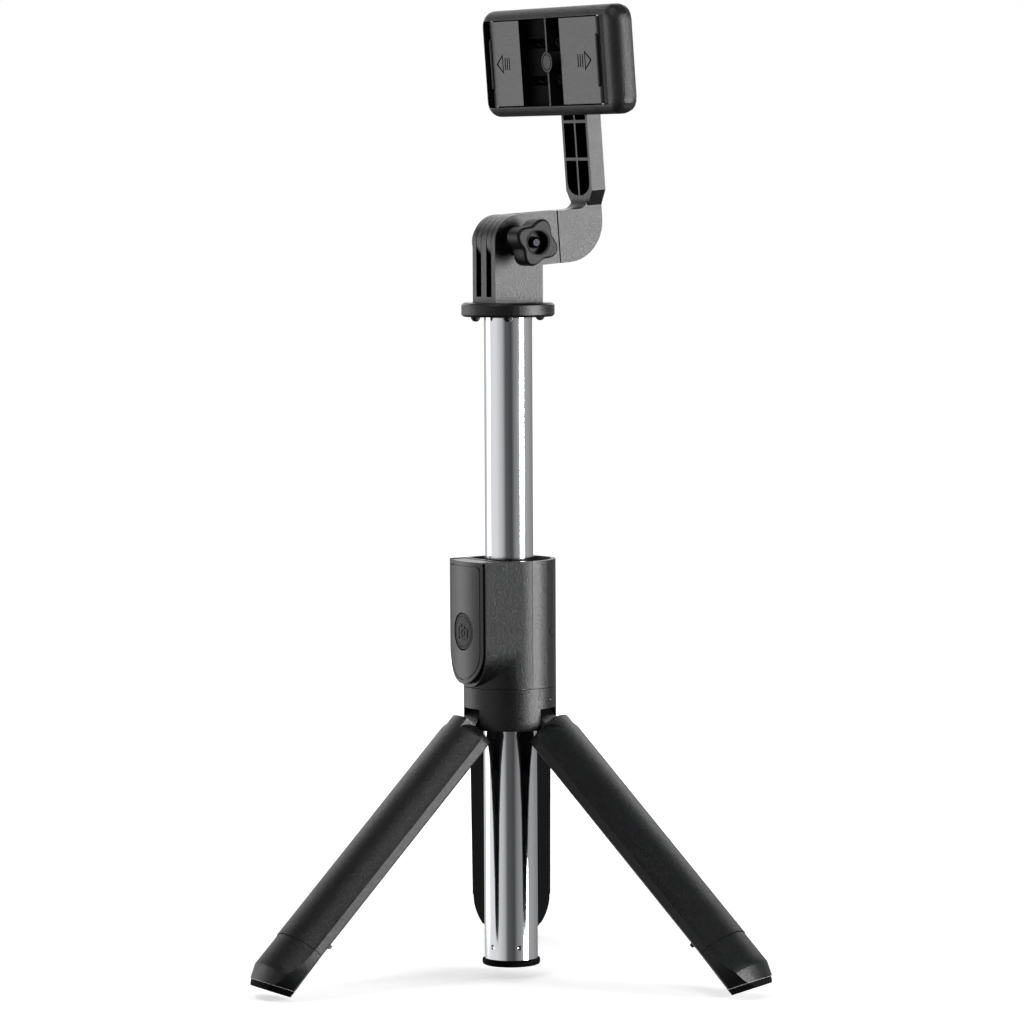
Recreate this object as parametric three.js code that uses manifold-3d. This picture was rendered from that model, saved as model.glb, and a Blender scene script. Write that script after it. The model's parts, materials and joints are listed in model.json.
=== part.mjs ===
import * as THREE from 'three';
import { mergeVertices } from 'three/addons/utils/BufferGeometryUtils.js';
import Module from 'manifold-3d';

// Tripod selfie stick, in millimetres, +Z up. The remote control faces -Y, the tilt knob is on +X,
// and the origin is the centre of the end cap's underside. The legs stand open.

const wasm = await Module();
wasm.setup();

// ---- driving dimensions ----------------------------------------------------------------------

const SEAM_GAP = 0.15;
const BORE_GAP = 0.08;

const TUBE_R = 8.9;
const TUBE_RADII = [0, 0.9, 1.75, 2.6, 3.45, 4.3].map((step) => TUBE_R - step);
const TUBE_WALL = 0.4;
const TUBE_GROOVE = { width: 4.2, depth: 0.55 };
const BUSH_LENGTH = 10;
const CAP = { radius: TUBE_R + 0.75, height: 2.1, plugTop: 9 };

const BODY_R = TUBE_R + 6.5;
const COLLAR = { bottom: 79.5, height: 13.8, notchWidth: 10, notchHeight: 7, notchFloor: TUBE_R + 0.7 };
COLLAR.top = COLLAR.bottom + COLLAR.height;
COLLAR.notchTop = COLLAR.bottom + COLLAR.notchHeight;

const HOUSING = { bottom: COLLAR.top + SEAM_GAP, height: 42.25, wall: 1.5, floor: 2.2 };
HOUSING.top = HOUSING.bottom + HOUSING.height;
const OUTER_TUBE_TOP = HOUSING.top - 2.7;
const INNER_TUBE_BOTTOM = COLLAR.bottom + 9.1;

const REMOTE_GAP = 0.15;
const REMOTE = { halfWidth: 11, length: 40.6, wall: 1.3, faceR: 36, backY: -TUBE_R - 1.9 };
REMOTE.apexY = -BODY_R - 2.65;
REMOTE.splitY = REMOTE.backY - 3.6;
REMOTE.top = HOUSING.top - 0.2;
REMOTE.arcZ = REMOTE.top - REMOTE.length + REMOTE.halfWidth;
const RAIL = { reach: 0.4, front: REMOTE.splitY + 0.3, back: REMOTE.splitY + 1.2 };
const BUTTON = { radius: 6, z: REMOTE.top - 23.3 };
const CELL = {
  radius: REMOTE.halfWidth - REMOTE.wall - 1.7,
  front: REMOTE.splitY + 0.7,
  back: REMOTE.splitY + 2.4,
  z: REMOTE.top - 10.5,
};
const BOARD_THICKNESS = 0.6;
const BOSS = {
  frontHalfWidth: REMOTE.halfWidth + 1.3,
  rootHalfWidth: BODY_R - 0.4,
  frontY: -BODY_R - 0.4,
  rootY: -3.3,
};

const LEG = {
  length: 93.7,
  top: COLLAR.bottom - 0.3,
  outerR: BODY_R + 0.7,
  innerR: TUBE_R + 1.3,
  offset: 1.4,
  halfAngle: 59.3,
  wall: 1.6,
  ribThickness: 1.2,
  pinR: 1,
  pivotR: TUBE_R + 3.1,
  pivotZ: COLLAR.bottom + 4.7,
  lugWidth: COLLAR.notchWidth - 0.6,
  open: 44,
  edgeR: 4,
};
LEG.seam = LEG.top - LEG.length;
const FOOT = {
  heelR: 3.6,
  heelZ: LEG.seam - 14.9,
  toeR: LEG.outerR - 0.7,
  toeZ: LEG.seam - 20.1,
  bevelZ: LEG.seam - 12.5,
  toeArcZ: LEG.seam - 5.5,
  soleThickness: 2.2,
};
const HOOK = { halfWidth: 2, front: -7.8, back: -6.2, top: LEG.seam + 8 };
const LEG_AZIMUTHS = { front: 0, right: 120, back: 240 };

const DISC = { radius: BODY_R + 0.05, bottom: 216, thickness: 4.6, bumpR: 1.6 };
DISC.top = DISC.bottom + DISC.thickness;
const FORK = { halfWidth: 7.5, radius: 9.1, pivotZ: DISC.top + 20, slotInner: 1.7, slotOuter: 5 };
FORK.slotFloor = DISC.top + 2;
const PIVOT_BOLT_R = 2;
const KNOB = { neckR: 4.9, back: FORK.halfWidth + 4.9, front: FORK.halfWidth + 12.7, recessR: 3.65 };

const CLAMP = {
  halfLength: 43.9,
  halfHeight: 17.9,
  z: 58,
  front: 19.5,
  back: 28.1,
  cornerR: 5.5,
  edgeR: 2.8,
};
CLAMP.seamX = CLAMP.halfLength - 14.55;
CLAMP.recessLeft = -CLAMP.halfLength + 2.9;
CLAMP.recessRight = CLAMP.halfLength - 5.9;
CLAMP.recessHalfHeight = CLAMP.halfHeight - 3.3;
CLAMP.floorFront = CLAMP.front + 4.7;
CLAMP.floorBack = CLAMP.back - 1.1;
const JAW = {
  front: CLAMP.front + 1.8,
  back: CLAMP.floorFront - 0.3,
  halfHeight: CLAMP.recessHalfHeight - 0.4,
  knuckleR: 1.4,
  pinR: 0.8,
  pinY: CLAMP.front + 3.2,
};
const JAW_LEFT = { pinX: CLAMP.recessLeft + 1.6, freeX: -20 };
const JAW_RIGHT = { pinX: CLAMP.seamX + 0.85, freeX: 6.6 };

const BRACKET = {
  tilt: 4.2,
  halfWidth: FORK.slotOuter + 0.07,
  tongueInner: FORK.slotInner + 0.3,
  tongueOuter: FORK.slotOuter - 0.3,
  tongueEnd: FORK.radius + 7.9,
  top: FORK.radius - 0.2,
  bottom: -FORK.radius + 0.7,
  cornerR: 13.5,
  filletR: 3.5,
  armFront: CLAMP.back + 0.6,
  armHalfWidth: 8.35,
  flareLow: FORK.radius + 0.6,
  flareHigh: FORK.radius + 5.6,
};
BRACKET.armBack = BRACKET.armFront + 5.3;
const SCREW_R = 1.5;

// ---- helpers ---------------------------------------------------------------------------------

const radians = THREE.MathUtils.degToRad;

/** Turns a three.js geometry into a closed solid, with its faces turned outwards. */
function solid(geometry) {
  const plain = new THREE.BufferGeometry();
  plain.setAttribute('position', geometry.getAttribute('position').clone());
  if (geometry.index) plain.setIndex(geometry.index.clone());
  const merged = mergeVertices(plain, 1e-4);
  const p = merged.getAttribute('position');
  const kept = [];
  let volume = 0;
  const a = new THREE.Vector3();
  const b = new THREE.Vector3();
  const c = new THREE.Vector3();
  for (let i = 0; i < merged.index.count; i += 3) {
    const [i0, i1, i2] = [merged.index.getX(i), merged.index.getX(i + 1), merged.index.getX(i + 2)];
    if (i0 === i1 || i1 === i2 || i2 === i0) continue;
    kept.push(i0, i1, i2);
    a.fromBufferAttribute(p, i0);
    b.fromBufferAttribute(p, i1);
    c.fromBufferAttribute(p, i2);
    volume += a.dot(b.cross(c));
  }
  if (volume < 0) {
    for (let i = 0; i < kept.length; i += 3) [kept[i], kept[i + 1]] = [kept[i + 1], kept[i]];
  }
  const vertProperties = new Float32Array(p.array);
  const triVerts = new Uint32Array(kept);
  return new wasm.Manifold(new wasm.Mesh({ numProp: 3, vertProperties, triVerts }));
}

/** Turns a solid back into a three.js geometry. */
function geometryOf(body) {
  const mesh = body.getMesh();
  const geometry = new THREE.BufferGeometry();
  const positions = new Float32Array(mesh.numVert * 3);
  for (let i = 0; i < mesh.numVert; i++) {
    for (let k = 0; k < 3; k++) positions[3 * i + k] = mesh.vertProperties[mesh.numProp * i + k];
  }
  geometry.setAttribute('position', new THREE.BufferAttribute(positions, 3));
  geometry.setIndex(new THREE.BufferAttribute(new Uint32Array(mesh.triVerts), 1));
  geometry.computeVertexNormals();
  return geometry;
}

/** A box between two limits on each axis. */
function block([x0, x1], [y0, y1], [z0, z1]) {
  const geometry = new THREE.BoxGeometry(x1 - x0, y1 - y0, z1 - z0);
  geometry.translate((x0 + x1) / 2, (y0 + y1) / 2, (z0 + z1) / 2);
  return solid(geometry);
}

/** A cylinder or cone along an axis from a to b, at (u, v) across it. */
function rod(axis, r, a, b, u = 0, v = 0, segments = 32, rEnd = r) {
  const geometry = new THREE.CylinderGeometry(rEnd, r, b - a, segments);
  geometry.translate(0, (a + b) / 2, 0);
  if (axis === 'x') {
    geometry.rotateZ(-Math.PI / 2);
    geometry.translate(0, u, v);
  } else if (axis === 'y') {
    geometry.translate(u, 0, v);
  } else {
    geometry.rotateX(Math.PI / 2);
    geometry.translate(u, v, 0);
  }
  return solid(geometry);
}

/** An outline pushed along an axis from a to b, with rounded edges of radius bevel at both ends. */
function prism(axis, shape, a, b, bevel = 0, curveSegments = 8) {
  const geometry = new THREE.ExtrudeGeometry(shape, {
    depth: b - a - 2 * bevel,
    curveSegments,
    bevelEnabled: bevel > 0,
    bevelThickness: bevel,
    bevelSize: bevel,
    bevelOffset: -bevel,
    bevelSegments: 2,
  });
  geometry.translate(0, 0, a + bevel);
  const order = { x: [1, 2, 0], y: [0, 2, 1], z: [0, 1, 2] }[axis];
  const p = geometry.getAttribute('position');
  for (let i = 0; i < p.count; i++) {
    const from = [p.getX(i), p.getY(i), p.getZ(i)];
    const to = [0, 0, 0];
    order.forEach((k, n) => { to[k] = from[n]; });
    p.setXYZ(i, ...to);
  }
  return solid(geometry);
}

/** A body turned about Z from a profile of [radius, z] points that starts and ends on the axis. */
function turned(profile, segments = 48) {
  const points = profile.map(([r, z]) => new THREE.Vector2(r, z));
  const geometry = new THREE.LatheGeometry(points, segments);
  geometry.rotateX(Math.PI / 2);
  return solid(geometry);
}

/** A closed outline through [x, y] points. */
function outline(points) {
  return new THREE.Shape(points.map(([x, y]) => new THREE.Vector2(x, y)));
}

/** Points on an arc about (cx, cy), from one angle to another, in degrees. */
function arc(cx, cy, r, from, to, steps) {
  const points = [];
  for (let i = 0; i <= steps; i++) {
    const angle = radians(from + ((to - from) * i) / steps);
    points.push([cx + r * Math.cos(angle), cy + r * Math.sin(angle)]);
  }
  return points;
}

/** A rectangle with rounded corners, centred on (0, z). */
function roundedRectangle(halfX, halfZ, r, z) {
  return outline([
    ...arc(halfX - r, z + halfZ - r, r, 0, 90, 4),
    ...arc(-halfX + r, z + halfZ - r, r, 90, 180, 4),
    ...arc(-halfX + r, z - halfZ + r, r, 180, 270, 4),
    ...arc(halfX - r, z - halfZ + r, r, 270, 360, 4),
  ]);
}

/** The U outline of the remote and of its dock, as [x, z] points. */
function uPoints(halfWidth, top, arcZ = REMOTE.arcZ) {
  return [[halfWidth, top], [-halfWidth, top], ...arc(0, arcZ, halfWidth, 180, 360, 20)];
}

/** The union of several solids. */
function union(...bodies) {
  return bodies.reduce((sum, body) => sum.add(body));
}

/** The first solid without the others. */
function cut(body, ...others) {
  return others.reduce((rest, other) => rest.subtract(other), body);
}

/** Moves a solid by a three.js matrix. */
function moved(body, matrix) {
  const geometry = geometryOf(body);
  geometry.applyMatrix4(matrix);
  return solid(geometry);
}

/** A turn about the X axis through (y, z), in degrees. */
function turnAboutX(degrees, y, z) {
  return new THREE.Matrix4()
    .makeTranslation(0, y, z)
    .multiply(new THREE.Matrix4().makeRotationX(radians(degrees)))
    .multiply(new THREE.Matrix4().makeTranslation(0, -y, -z));
}

const part = new THREE.Group();
part.name = 'selfie_stick';

/** Adds a named piece with its own material. */
function addPiece(name, body, color, metalness, roughness, matrix) {
  const material = new THREE.MeshStandardMaterial({ color, metalness, roughness });
  const mesh = new THREE.Mesh(geometryOf(matrix ? moved(body, matrix) : body), material);
  mesh.name = name;
  part.add(mesh);
}

const addPlastic = (name, body, matrix) => addPiece(name, body, 0x232426, 0, 0.55, matrix);
const addRubber = (name, body, matrix) => addPiece(name, body, 0x141416, 0, 0.85, matrix);
const addSteel = (name, body, matrix) => addPiece(name, body, 0xc9ccd0, 1, 0.2, matrix);

// ---- telescopic tubes ------------------------------------------------------------------------

/** Half of the angle a groove of this half width takes up on a circle, in degrees. */
function grooveAngle(r, halfWidth) {
  return THREE.MathUtils.radToDeg(Math.asin(halfWidth / r));
}

/** A circle with one flat-floored groove that faces -Y. */
function groovedCircle(r, halfWidth, depth) {
  const half = grooveAngle(r, halfWidth);
  const floor = -(r - depth);
  return [
    ...arc(0, 0, r, -90 + half, 270 - half, 44),
    [-halfWidth + depth / 2, floor],
    [halfWidth - depth / 2, floor],
  ];
}

/** A length of steel tube: plain, or with the groove that keeps it from turning. */
function tube(r, bottom, top, grooved) {
  const { width, depth } = TUBE_GROOVE;
  const inner = r - TUBE_WALL;
  const outside = grooved ? groovedCircle(r, width / 2, depth) : arc(0, 0, r, 0, 360, 48).slice(0, -1);
  const inside = grooved
    ? groovedCircle(inner, width / 2 + 0.2, depth)
    : arc(0, 0, inner, 0, 360, 48).slice(0, -1);
  const shape = outline(outside);
  shape.holes.push(new THREE.Path(inside.map(([x, y]) => new THREE.Vector2(x, y))));
  return prism('z', shape, bottom, top);
}

addRubber('tube_end_cap', turned([
  [0, 0],
  [CAP.radius - 0.7, 0],
  [CAP.radius, 0.7],
  [CAP.radius, CAP.height - 0.5],
  [CAP.radius - 0.5, CAP.height],
  [TUBE_RADII[0] - TUBE_WALL - 0.05, CAP.height],
  [TUBE_RADII[0] - TUBE_WALL - 0.05, CAP.plugTop],
  [0, CAP.plugTop],
]));

addSteel('tube_1', tube(TUBE_RADII[0], CAP.height + 0.02, OUTER_TUBE_TOP, false));
for (let i = 1; i < TUBE_RADII.length; i++) {
  const r = TUBE_RADII[i];
  addSteel(`tube_${i + 1}`, tube(r, INNER_TUBE_BOTTOM, DISC.bottom - 0.3, true));
  // the bush is a split nylon sleeve: its gap stands over the groove
  const outer = TUBE_RADII[i - 1] - TUBE_WALL - 0.04;
  const { width } = TUBE_GROOVE;
  const half = grooveAngle(outer, width / 2 + 0.5);
  const sleeve = outline([
    ...arc(0, 0, outer, -90 + half, 270 - half, 32),
    ...arc(0, 0, r + 0.04, 270 - half, -90 + half, 32),
  ]);
  addPiece(`slide_bush_${i + 1}`,
    prism('z', sleeve, INNER_TUBE_BOTTOM + 1, INNER_TUBE_BOTTOM + 1 + BUSH_LENGTH), 0xe6e2d8, 0, 0.6);
}

// ---- hinge collar and legs -------------------------------------------------------------------

/** A notch for one leg's lug, facing -Y before it is turned to the leg's azimuth. */
function legNotch(halfWidth, top) {
  return block([-halfWidth, halfWidth], [-BODY_R - 2, -COLLAR.notchFloor], [COLLAR.bottom - 1, top]);
}

const aboutZ = (degrees) => new THREE.Matrix4().makeRotationZ(radians(degrees));

let collar = cut(
  rod('z', BODY_R, COLLAR.bottom, COLLAR.top, 0, 0, 48),
  rod('z', TUBE_RADII[0] + 0.05, COLLAR.bottom - 1, COLLAR.top + 1, 0, 0, 48),
);
for (const azimuth of Object.values(LEG_AZIMUTHS)) {
  const notch = legNotch(COLLAR.notchWidth / 2, COLLAR.notchTop);
  const bore = rod('x', LEG.pinR + 0.05, -7, 7, -LEG.pivotR, LEG.pivotZ, 24);
  collar = cut(collar, moved(union(notch, bore), aboutZ(azimuth)));
}
addPlastic('hinge_collar', collar);

/** Everywhere the collar sweeps in a leg's own frame between folded and open. */
function collarSweep() {
  const collarShape = cut(
    rod('z', BODY_R + 0.25, COLLAR.bottom - 0.25, COLLAR.top + 8, 0, 0, 36),
    legNotch(LEG.lugWidth / 2 + 0.1, COLLAR.notchTop - 0.25),
  );
  let sweep = collarShape;
  const steps = 4;
  for (let i = 1; i <= steps; i++) {
    const turn = turnAboutX((LEG.open * i) / steps, -LEG.pivotR, LEG.pivotZ);
    sweep = sweep.add(moved(collarShape, turn));
  }
  return sweep;
}

/** The slice of a ring that one leg fills, from r to the leg's outside, as an outline. */
function legSector(inner, outer) {
  const half = LEG.halfAngle;
  return outline([
    ...arc(0, -LEG.offset, outer, -90 - half, -90 + half, 16),
    ...arc(0, -LEG.offset, inner, -90 + half, -90 - half, 10),
  ]);
}

/** The hollow of a leg, open towards the tube. */
function legHollow(bottom, top) {
  const outer = LEG.outerR - LEG.wall;
  const half = LEG.halfAngle;
  // the side walls keep their thickness, so the hollow's flanks stand off from the leg's side faces
  const offset = LEG.wall / Math.sin(radians(half));
  const apex = -LEG.offset - offset;
  const limit = grooveAngle(outer, LEG.wall);
  const points = arc(0, -LEG.offset, outer, -90 - half + limit, -90 + half - limit, 12);
  points.push([0, apex]);
  return prism('z', outline(points), bottom, top);
}

const sweep = collarSweep();

/** One leg's moulded channel, with its hinge lug and ribs, folded and facing -Y. */
function legShell() {
  const ribPitch = 25;
  const ribs = [];
  for (let z = LEG.seam + 18.5; z < LEG.top - 20; z += ribPitch) ribs.push([z, z + LEG.ribThickness]);
  let shell = prism('z', legSector(LEG.innerR, LEG.outerR), LEG.seam, LEG.top);
  const bays = [LEG.seam + 2, ...ribs.flat(), LEG.top - 5];
  for (let i = 0; i < bays.length; i += 2) shell = cut(shell, legHollow(bays[i], bays[i + 1]));
  const half = LEG.lugWidth / 2;
  const outside = rod('z', LEG.outerR, LEG.top - 7, COLLAR.notchTop, 0, -LEG.offset, 36);
  const lug = block(
    [-half, half], [-LEG.outerR - 0.5, -LEG.pivotR + 2.2], [LEG.top - 6, COLLAR.notchTop - 0.3],
  );
  shell = union(shell, lug.intersect(outside));
  const lowest = FOOT.toeZ - 5;
  // the lug's end is round about its pin
  const round = union(
    rod('x', 2.2, -half, half, -LEG.pivotR, LEG.pivotZ, 20),
    block([-20, 20], [-20, 0], [lowest, LEG.pivotZ - 0.4]),
  );
  shell = cut(shell.intersect(round), sweep);
  // the end of the leg is rounded from side to side and on its outer edge
  const { outerR, offset, top, edgeR } = LEG;
  const edge = top + 0.4 - edgeR;
  const keep = union(
    rod('y', outerR + 2.5, -20, 0, 0, top - outerR - 1.6, 48),
    block([-half, half], [-20, 0], [top - 19, COLLAR.top]),
    block([-20, 20], [-20, 0], [lowest, top - 17]),
  ).intersect(prism('x', outline([
    [0, lowest],
    [0, COLLAR.top],
    [-outerR - offset + edgeR, COLLAR.top],
    ...arc(-outerR - offset + edgeR, edge, edgeR, 90, 180, 5),
    [-outerR - offset, lowest],
  ]), -20, 20));
  shell = shell.intersect(keep);
  return cut(shell, rod('x', LEG.pinR + BORE_GAP, -9, 9, -LEG.pivotR, LEG.pivotZ, 20));
}

/** The outline of a foot seen from the side, as [-radius, z] points, between two depths of sole. */
function footProfile() {
  const { heelR, heelZ, toeR, toeZ, bevelZ } = FOOT;
  return [
    [-6.2, LEG.seam - 0.12],
    [-LEG.outerR - LEG.offset, LEG.seam - 0.12],
    [-LEG.outerR - LEG.offset, bevelZ],
    [-toeR, toeZ],
    [-heelR, heelZ],
    [-heelR - 0.2, heelZ + 2.2],
  ];
}

/** The half space at one side of a plane parallel to the sole, raised from it. */
function aboveSole(raise, above) {
  const { heelR, heelZ, toeR, toeZ } = FOOT;
  const length = Math.hypot(toeR - heelR, toeZ - heelZ);
  const along = [-(toeR - heelR) / length, (toeZ - heelZ) / length];
  const up = [along[1] * -1, along[0]];
  const sign = up[1] > 0 ? 1 : -1;
  const normal = [up[0] * sign, up[1] * sign];
  const at = (s, t) => [-heelR + along[0] * s + normal[0] * t, heelZ + along[1] * s + normal[1] * t];
  const far = above ? 60 : -20;
  return prism('x', outline([at(-40, raise), at(40, raise), at(40, far), at(-40, far)]), -30, 30);
}

/** The whole foot with its sole, folded and facing -Y. */
function footBody() {
  const side = prism('x', outline(footProfile()), -20, 20);
  const sector = prism('z', legSector(2.4, LEG.outerR), FOOT.toeZ - 5, LEG.seam);
  // seen square on, the toe is a half ellipse
  const { toeArcZ, toeZ } = FOOT;
  const toeReach = toeArcZ - toeZ + 0.6;
  const toeHalfWidth = LEG.outerR - 1.9;
  const toe = outline([
    [LEG.outerR, 0],
    [-LEG.outerR, 0],
    ...arc(0, 0, 1, 180, 360, 16).map(([x, z]) => [x * toeHalfWidth, toeArcZ + z * toeReach]),
  ]);
  return side.intersect(sector).intersect(prism('y', toe, -20, 0));
}

/** The snap hook on the inside of a foot. */
function snapHook() {
  const { halfWidth, front, back, top } = HOOK;
  const stem = block([-halfWidth, halfWidth], [front, back], [LEG.seam - 1.5, top]);
  const barb = prism('x', outline([
    [back - 0.8, top],
    [back - 0.8, top - 2.5],
    [back + 4, top - 1.9],
    [back + 4, top - 0.7],
  ]), -halfWidth, halfWidth);
  return union(stem, barb);
}

const shellBody = legShell();
const footWhole = footBody();
const footUpper = union(footWhole.intersect(aboveSole(FOOT.soleThickness, true)), snapHook());
const hookWindow = block(
  [-HOOK.halfWidth - 0.3, HOOK.halfWidth + 0.3], [HOOK.front - 0.4, 0], [LEG.seam - 1, HOOK.top + 1.5],
);
const soleBody = footWhole.intersect(aboveSole(FOOT.soleThickness - 0.06, false));
const pinBody = rod('x', LEG.pinR, -6.8, 6.8, -LEG.pivotR, LEG.pivotZ, 24);

for (const [side, azimuth] of Object.entries(LEG_AZIMUTHS)) {
  const pose = aboutZ(azimuth).multiply(turnAboutX(-LEG.open, -LEG.pivotR, LEG.pivotZ));
  addPlastic(`leg_shell_${side}`, cut(shellBody, hookWindow), pose);
  addPlastic(`leg_foot_${side}`, footUpper, pose);
  addRubber(`leg_sole_${side}`, soleBody, pose);
  addSteel(`leg_pin_${side}`, pinBody, aboutZ(azimuth));
}

// ---- housing and remote ----------------------------------------------------------------------

/** A solid between two U outlines of the same number of points, at two depths along Y. */
function loftedU(frontPoints, frontY, backPoints, backY) {
  const count = frontPoints.length;
  const positions = [];
  for (const [x, z] of frontPoints) positions.push(x, frontY, z);
  for (const [x, z] of backPoints) positions.push(x, backY, z);
  const faces = THREE.ShapeUtils.triangulateShape(frontPoints.map(([x, z]) => new THREE.Vector2(x, z)), []);
  const index = [];
  for (const [a, b, c] of faces) index.push(a, b, c, count + c, count + b, count + a);
  for (let i = 0; i < count; i++) {
    const j = (i + 1) % count;
    index.push(i, count + i, j, j, count + i, count + j);
  }
  const geometry = new THREE.BufferGeometry();
  geometry.setAttribute('position', new THREE.BufferAttribute(new Float32Array(positions), 3));
  geometry.setIndex(index);
  return solid(geometry);
}

const dockHalf = REMOTE.halfWidth + REMOTE_GAP;
const dock = prism('y', outline(uPoints(dockHalf, HOUSING.top + 5)), -25, REMOTE.backY + REMOTE_GAP);
const dockBoss = loftedU(
  uPoints(BOSS.frontHalfWidth, HOUSING.top), BOSS.frontY,
  uPoints(BOSS.rootHalfWidth, HOUSING.top), BOSS.rootY,
).intersect(block([-20, 20], [-20, 0], [HOUSING.bottom, HOUSING.top]));

const housingOuter = union(rod('z', BODY_R, HOUSING.bottom, HOUSING.top, 0, 0, 60), dockBoss);
const cavity = cut(
  rod('z', BODY_R - HOUSING.wall, HOUSING.bottom + HOUSING.floor, HOUSING.top + 1, 0, 0, 48),
  block([-20, 20], [-20, REMOTE.backY + REMOTE_GAP + 1.35], [HOUSING.bottom, HOUSING.top + 2]),
);
const screwX = BODY_R - 3.7;
const screwZ = HOUSING.bottom + 18.55;
const bosses = union(...[-1, 1].map((side) => rod('y', 2.1, -7.5, 8.6, side * screwX, screwZ, 20)));
const screwHoles = union(...[-1, 1].map((side) => union(
  rod('y', 1.05, -5.5, 12, side * screwX, screwZ, 16),
  rod('y', 1.75, 6.2, 13, side * screwX, screwZ, 20),
)));

/** Two upright bars, one at each side, between two distances from the middle plane. */
function sideBars(near, far, ySpan, zSpan) {
  return union(block([-far, -near], ySpan, zSpan), block([near, far], ySpan, zSpan));
}

const rails = sideBars(
  REMOTE.halfWidth - RAIL.reach, dockHalf + SEAM_GAP, [RAIL.front, RAIL.back], [REMOTE.arcZ + 2, HOUSING.top],
);
const housing = cut(
  union(cut(housingOuter, cavity, dock), bosses.intersect(housingOuter), rails),
  rod('z', TUBE_RADII[0] + 0.05, HOUSING.bottom - 1, HOUSING.top + 2, 0, 0, 48),
  screwHoles,
);
const zRange = [HOUSING.bottom - 3, HOUSING.top + 3];
addPlastic('housing_front', housing.intersect(block([-20, 20], [-20, -0.05], zRange)));
addPlastic('housing_rear', housing.intersect(block([-20, 20], [0.05, 20], zRange)));
for (const [side, sign] of [['left', -1], ['right', 1]]) {
  addSteel(`housing_screw_${side}`, union(
    rod('y', 1, -5.2, 7, sign * screwX, screwZ, 16),
    rod('y', 1.65, 6.25, 7.6, sign * screwX, screwZ, 20),
  ));
}

const faceAxisY = REMOTE.apexY + REMOTE.faceR;
const facePrism = (r) => rod('z', r, ...zRange, 0, faceAxisY, 120);
const remoteU = (inset, a, b) => prism(
  'y', outline(uPoints(REMOTE.halfWidth - inset, REMOTE.top - inset)), a, b,
);
// the grooves run out at the round end, so that the remote can slide up along the whole rail
const remoteGrooves = sideBars(
  REMOTE.halfWidth - RAIL.reach - 0.2,
  REMOTE.halfWidth + 1,
  [RAIL.front - SEAM_GAP, RAIL.back + SEAM_GAP],
  [REMOTE.arcZ - REMOTE.halfWidth, REMOTE.top + 1],
);
addPlastic('remote_back', cut(
  remoteU(0, REMOTE.splitY, REMOTE.backY),
  remoteU(REMOTE.wall, REMOTE.splitY - 1, REMOTE.backY - 1),
  remoteGrooves,
));
addPlastic('remote_face', cut(
  remoteU(0, -20, REMOTE.splitY - 0.04).intersect(facePrism(REMOTE.faceR)),
  remoteU(REMOTE.wall, -20, REMOTE.splitY + 1).intersect(facePrism(REMOTE.faceR - 1.2)),
  rod('y', BUTTON.radius + 0.3, -20, -13, 0, BUTTON.z, 48),
));
const buttonBack = REMOTE.splitY - 0.9;
addPlastic('shutter_button', union(
  rod('y', BUTTON.radius, -20, buttonBack, 0, BUTTON.z, 48).intersect(facePrism(REMOTE.faceR - 0.25)),
  rod('y', BUTTON.radius + 0.8, buttonBack - 0.75, buttonBack, 0, BUTTON.z, 48),
));
addPiece('remote_board', prism(
  'y', outline(uPoints(REMOTE.halfWidth - REMOTE.wall - SEAM_GAP, REMOTE.top - 1.5)),
  REMOTE.splitY, REMOTE.splitY + BOARD_THICKNESS,
), 0x1f5a3a, 0, 0.5);
addSteel('coin_cell', rod('y', CELL.radius, CELL.front, CELL.back, 0, CELL.z, 36));

// ---- head: disc, fork, bolt and knob ---------------------------------------------------------

const disc = turned([
  [0, DISC.bottom],
  [DISC.radius - 0.7, DISC.bottom],
  [DISC.radius, DISC.bottom + 0.7],
  [DISC.radius, DISC.top - 0.7],
  [DISC.radius - 0.7, DISC.top],
  [0, DISC.top],
], 48);
const stemR = TUBE_RADII[5] - TUBE_WALL - TUBE_GROOVE.depth - 0.05;
const stem = rod('z', stemR, DISC.bottom - 14, DISC.bottom + 1);
const bumpCircle = DISC.radius - 3.15;
const bumps = [0, 60, 180, 240].map((azimuth) => {
  const ball = new THREE.SphereGeometry(DISC.bumpR, 10, 6);
  const angle = radians(azimuth);
  ball.translate(bumpCircle * Math.sin(angle), -bumpCircle * Math.cos(angle), DISC.bottom);
  return solid(ball).intersect(block([-20, 20], [-20, 20], [DISC.bottom - 3, DISC.bottom + 1]));
});
const { halfWidth: forkX, radius: forkR, pivotZ } = FORK;
const forkBlock = union(
  rod('x', forkR, -forkX, forkX, 0, pivotZ, 48),
  block([-forkX, forkX], [-forkR, forkR], [DISC.top - 0.5, pivotZ]),
);
const slots = sideBars(FORK.slotInner, FORK.slotOuter, [-20, 20], [FORK.slotFloor, pivotZ + 20]);
const nutBoss = rod('x', 7.3, -forkX - 3.6, -forkX, 0, pivotZ, 36);
const hexPocket = rod('x', 4.15, -forkX - 4.5, -forkX - 0.8, 0, pivotZ, 6);
addPlastic('head_fork', cut(
  union(disc, stem, ...bumps, forkBlock, nutBoss),
  slots,
  hexPocket,
  rod('x', PIVOT_BOLT_R + BORE_GAP, -forkX - 4.5, forkX + 2.5, 0, pivotZ, 32),
));

addSteel('pivot_bolt', union(
  rod('x', 4.05, -forkX - 3.5, -forkX - 0.9, 0, pivotZ, 6),
  rod('x', PIVOT_BOLT_R, -forkX - 1.5, KNOB.front - 2, 0, pivotZ, 28),
  rod('x', PIVOT_BOLT_R, KNOB.front - 2, KNOB.front - 1.2, 0, pivotZ, 28, PIVOT_BOLT_R - 0.8),
));
addSteel('knob_washer', cut(
  rod('x', 4.8, forkX + 0.05, forkX + 0.6, 0, pivotZ, 32),
  rod('x', PIVOT_BOLT_R + BORE_GAP, forkX - 1, forkX + 2, 0, pivotZ, 32),
));

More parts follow.
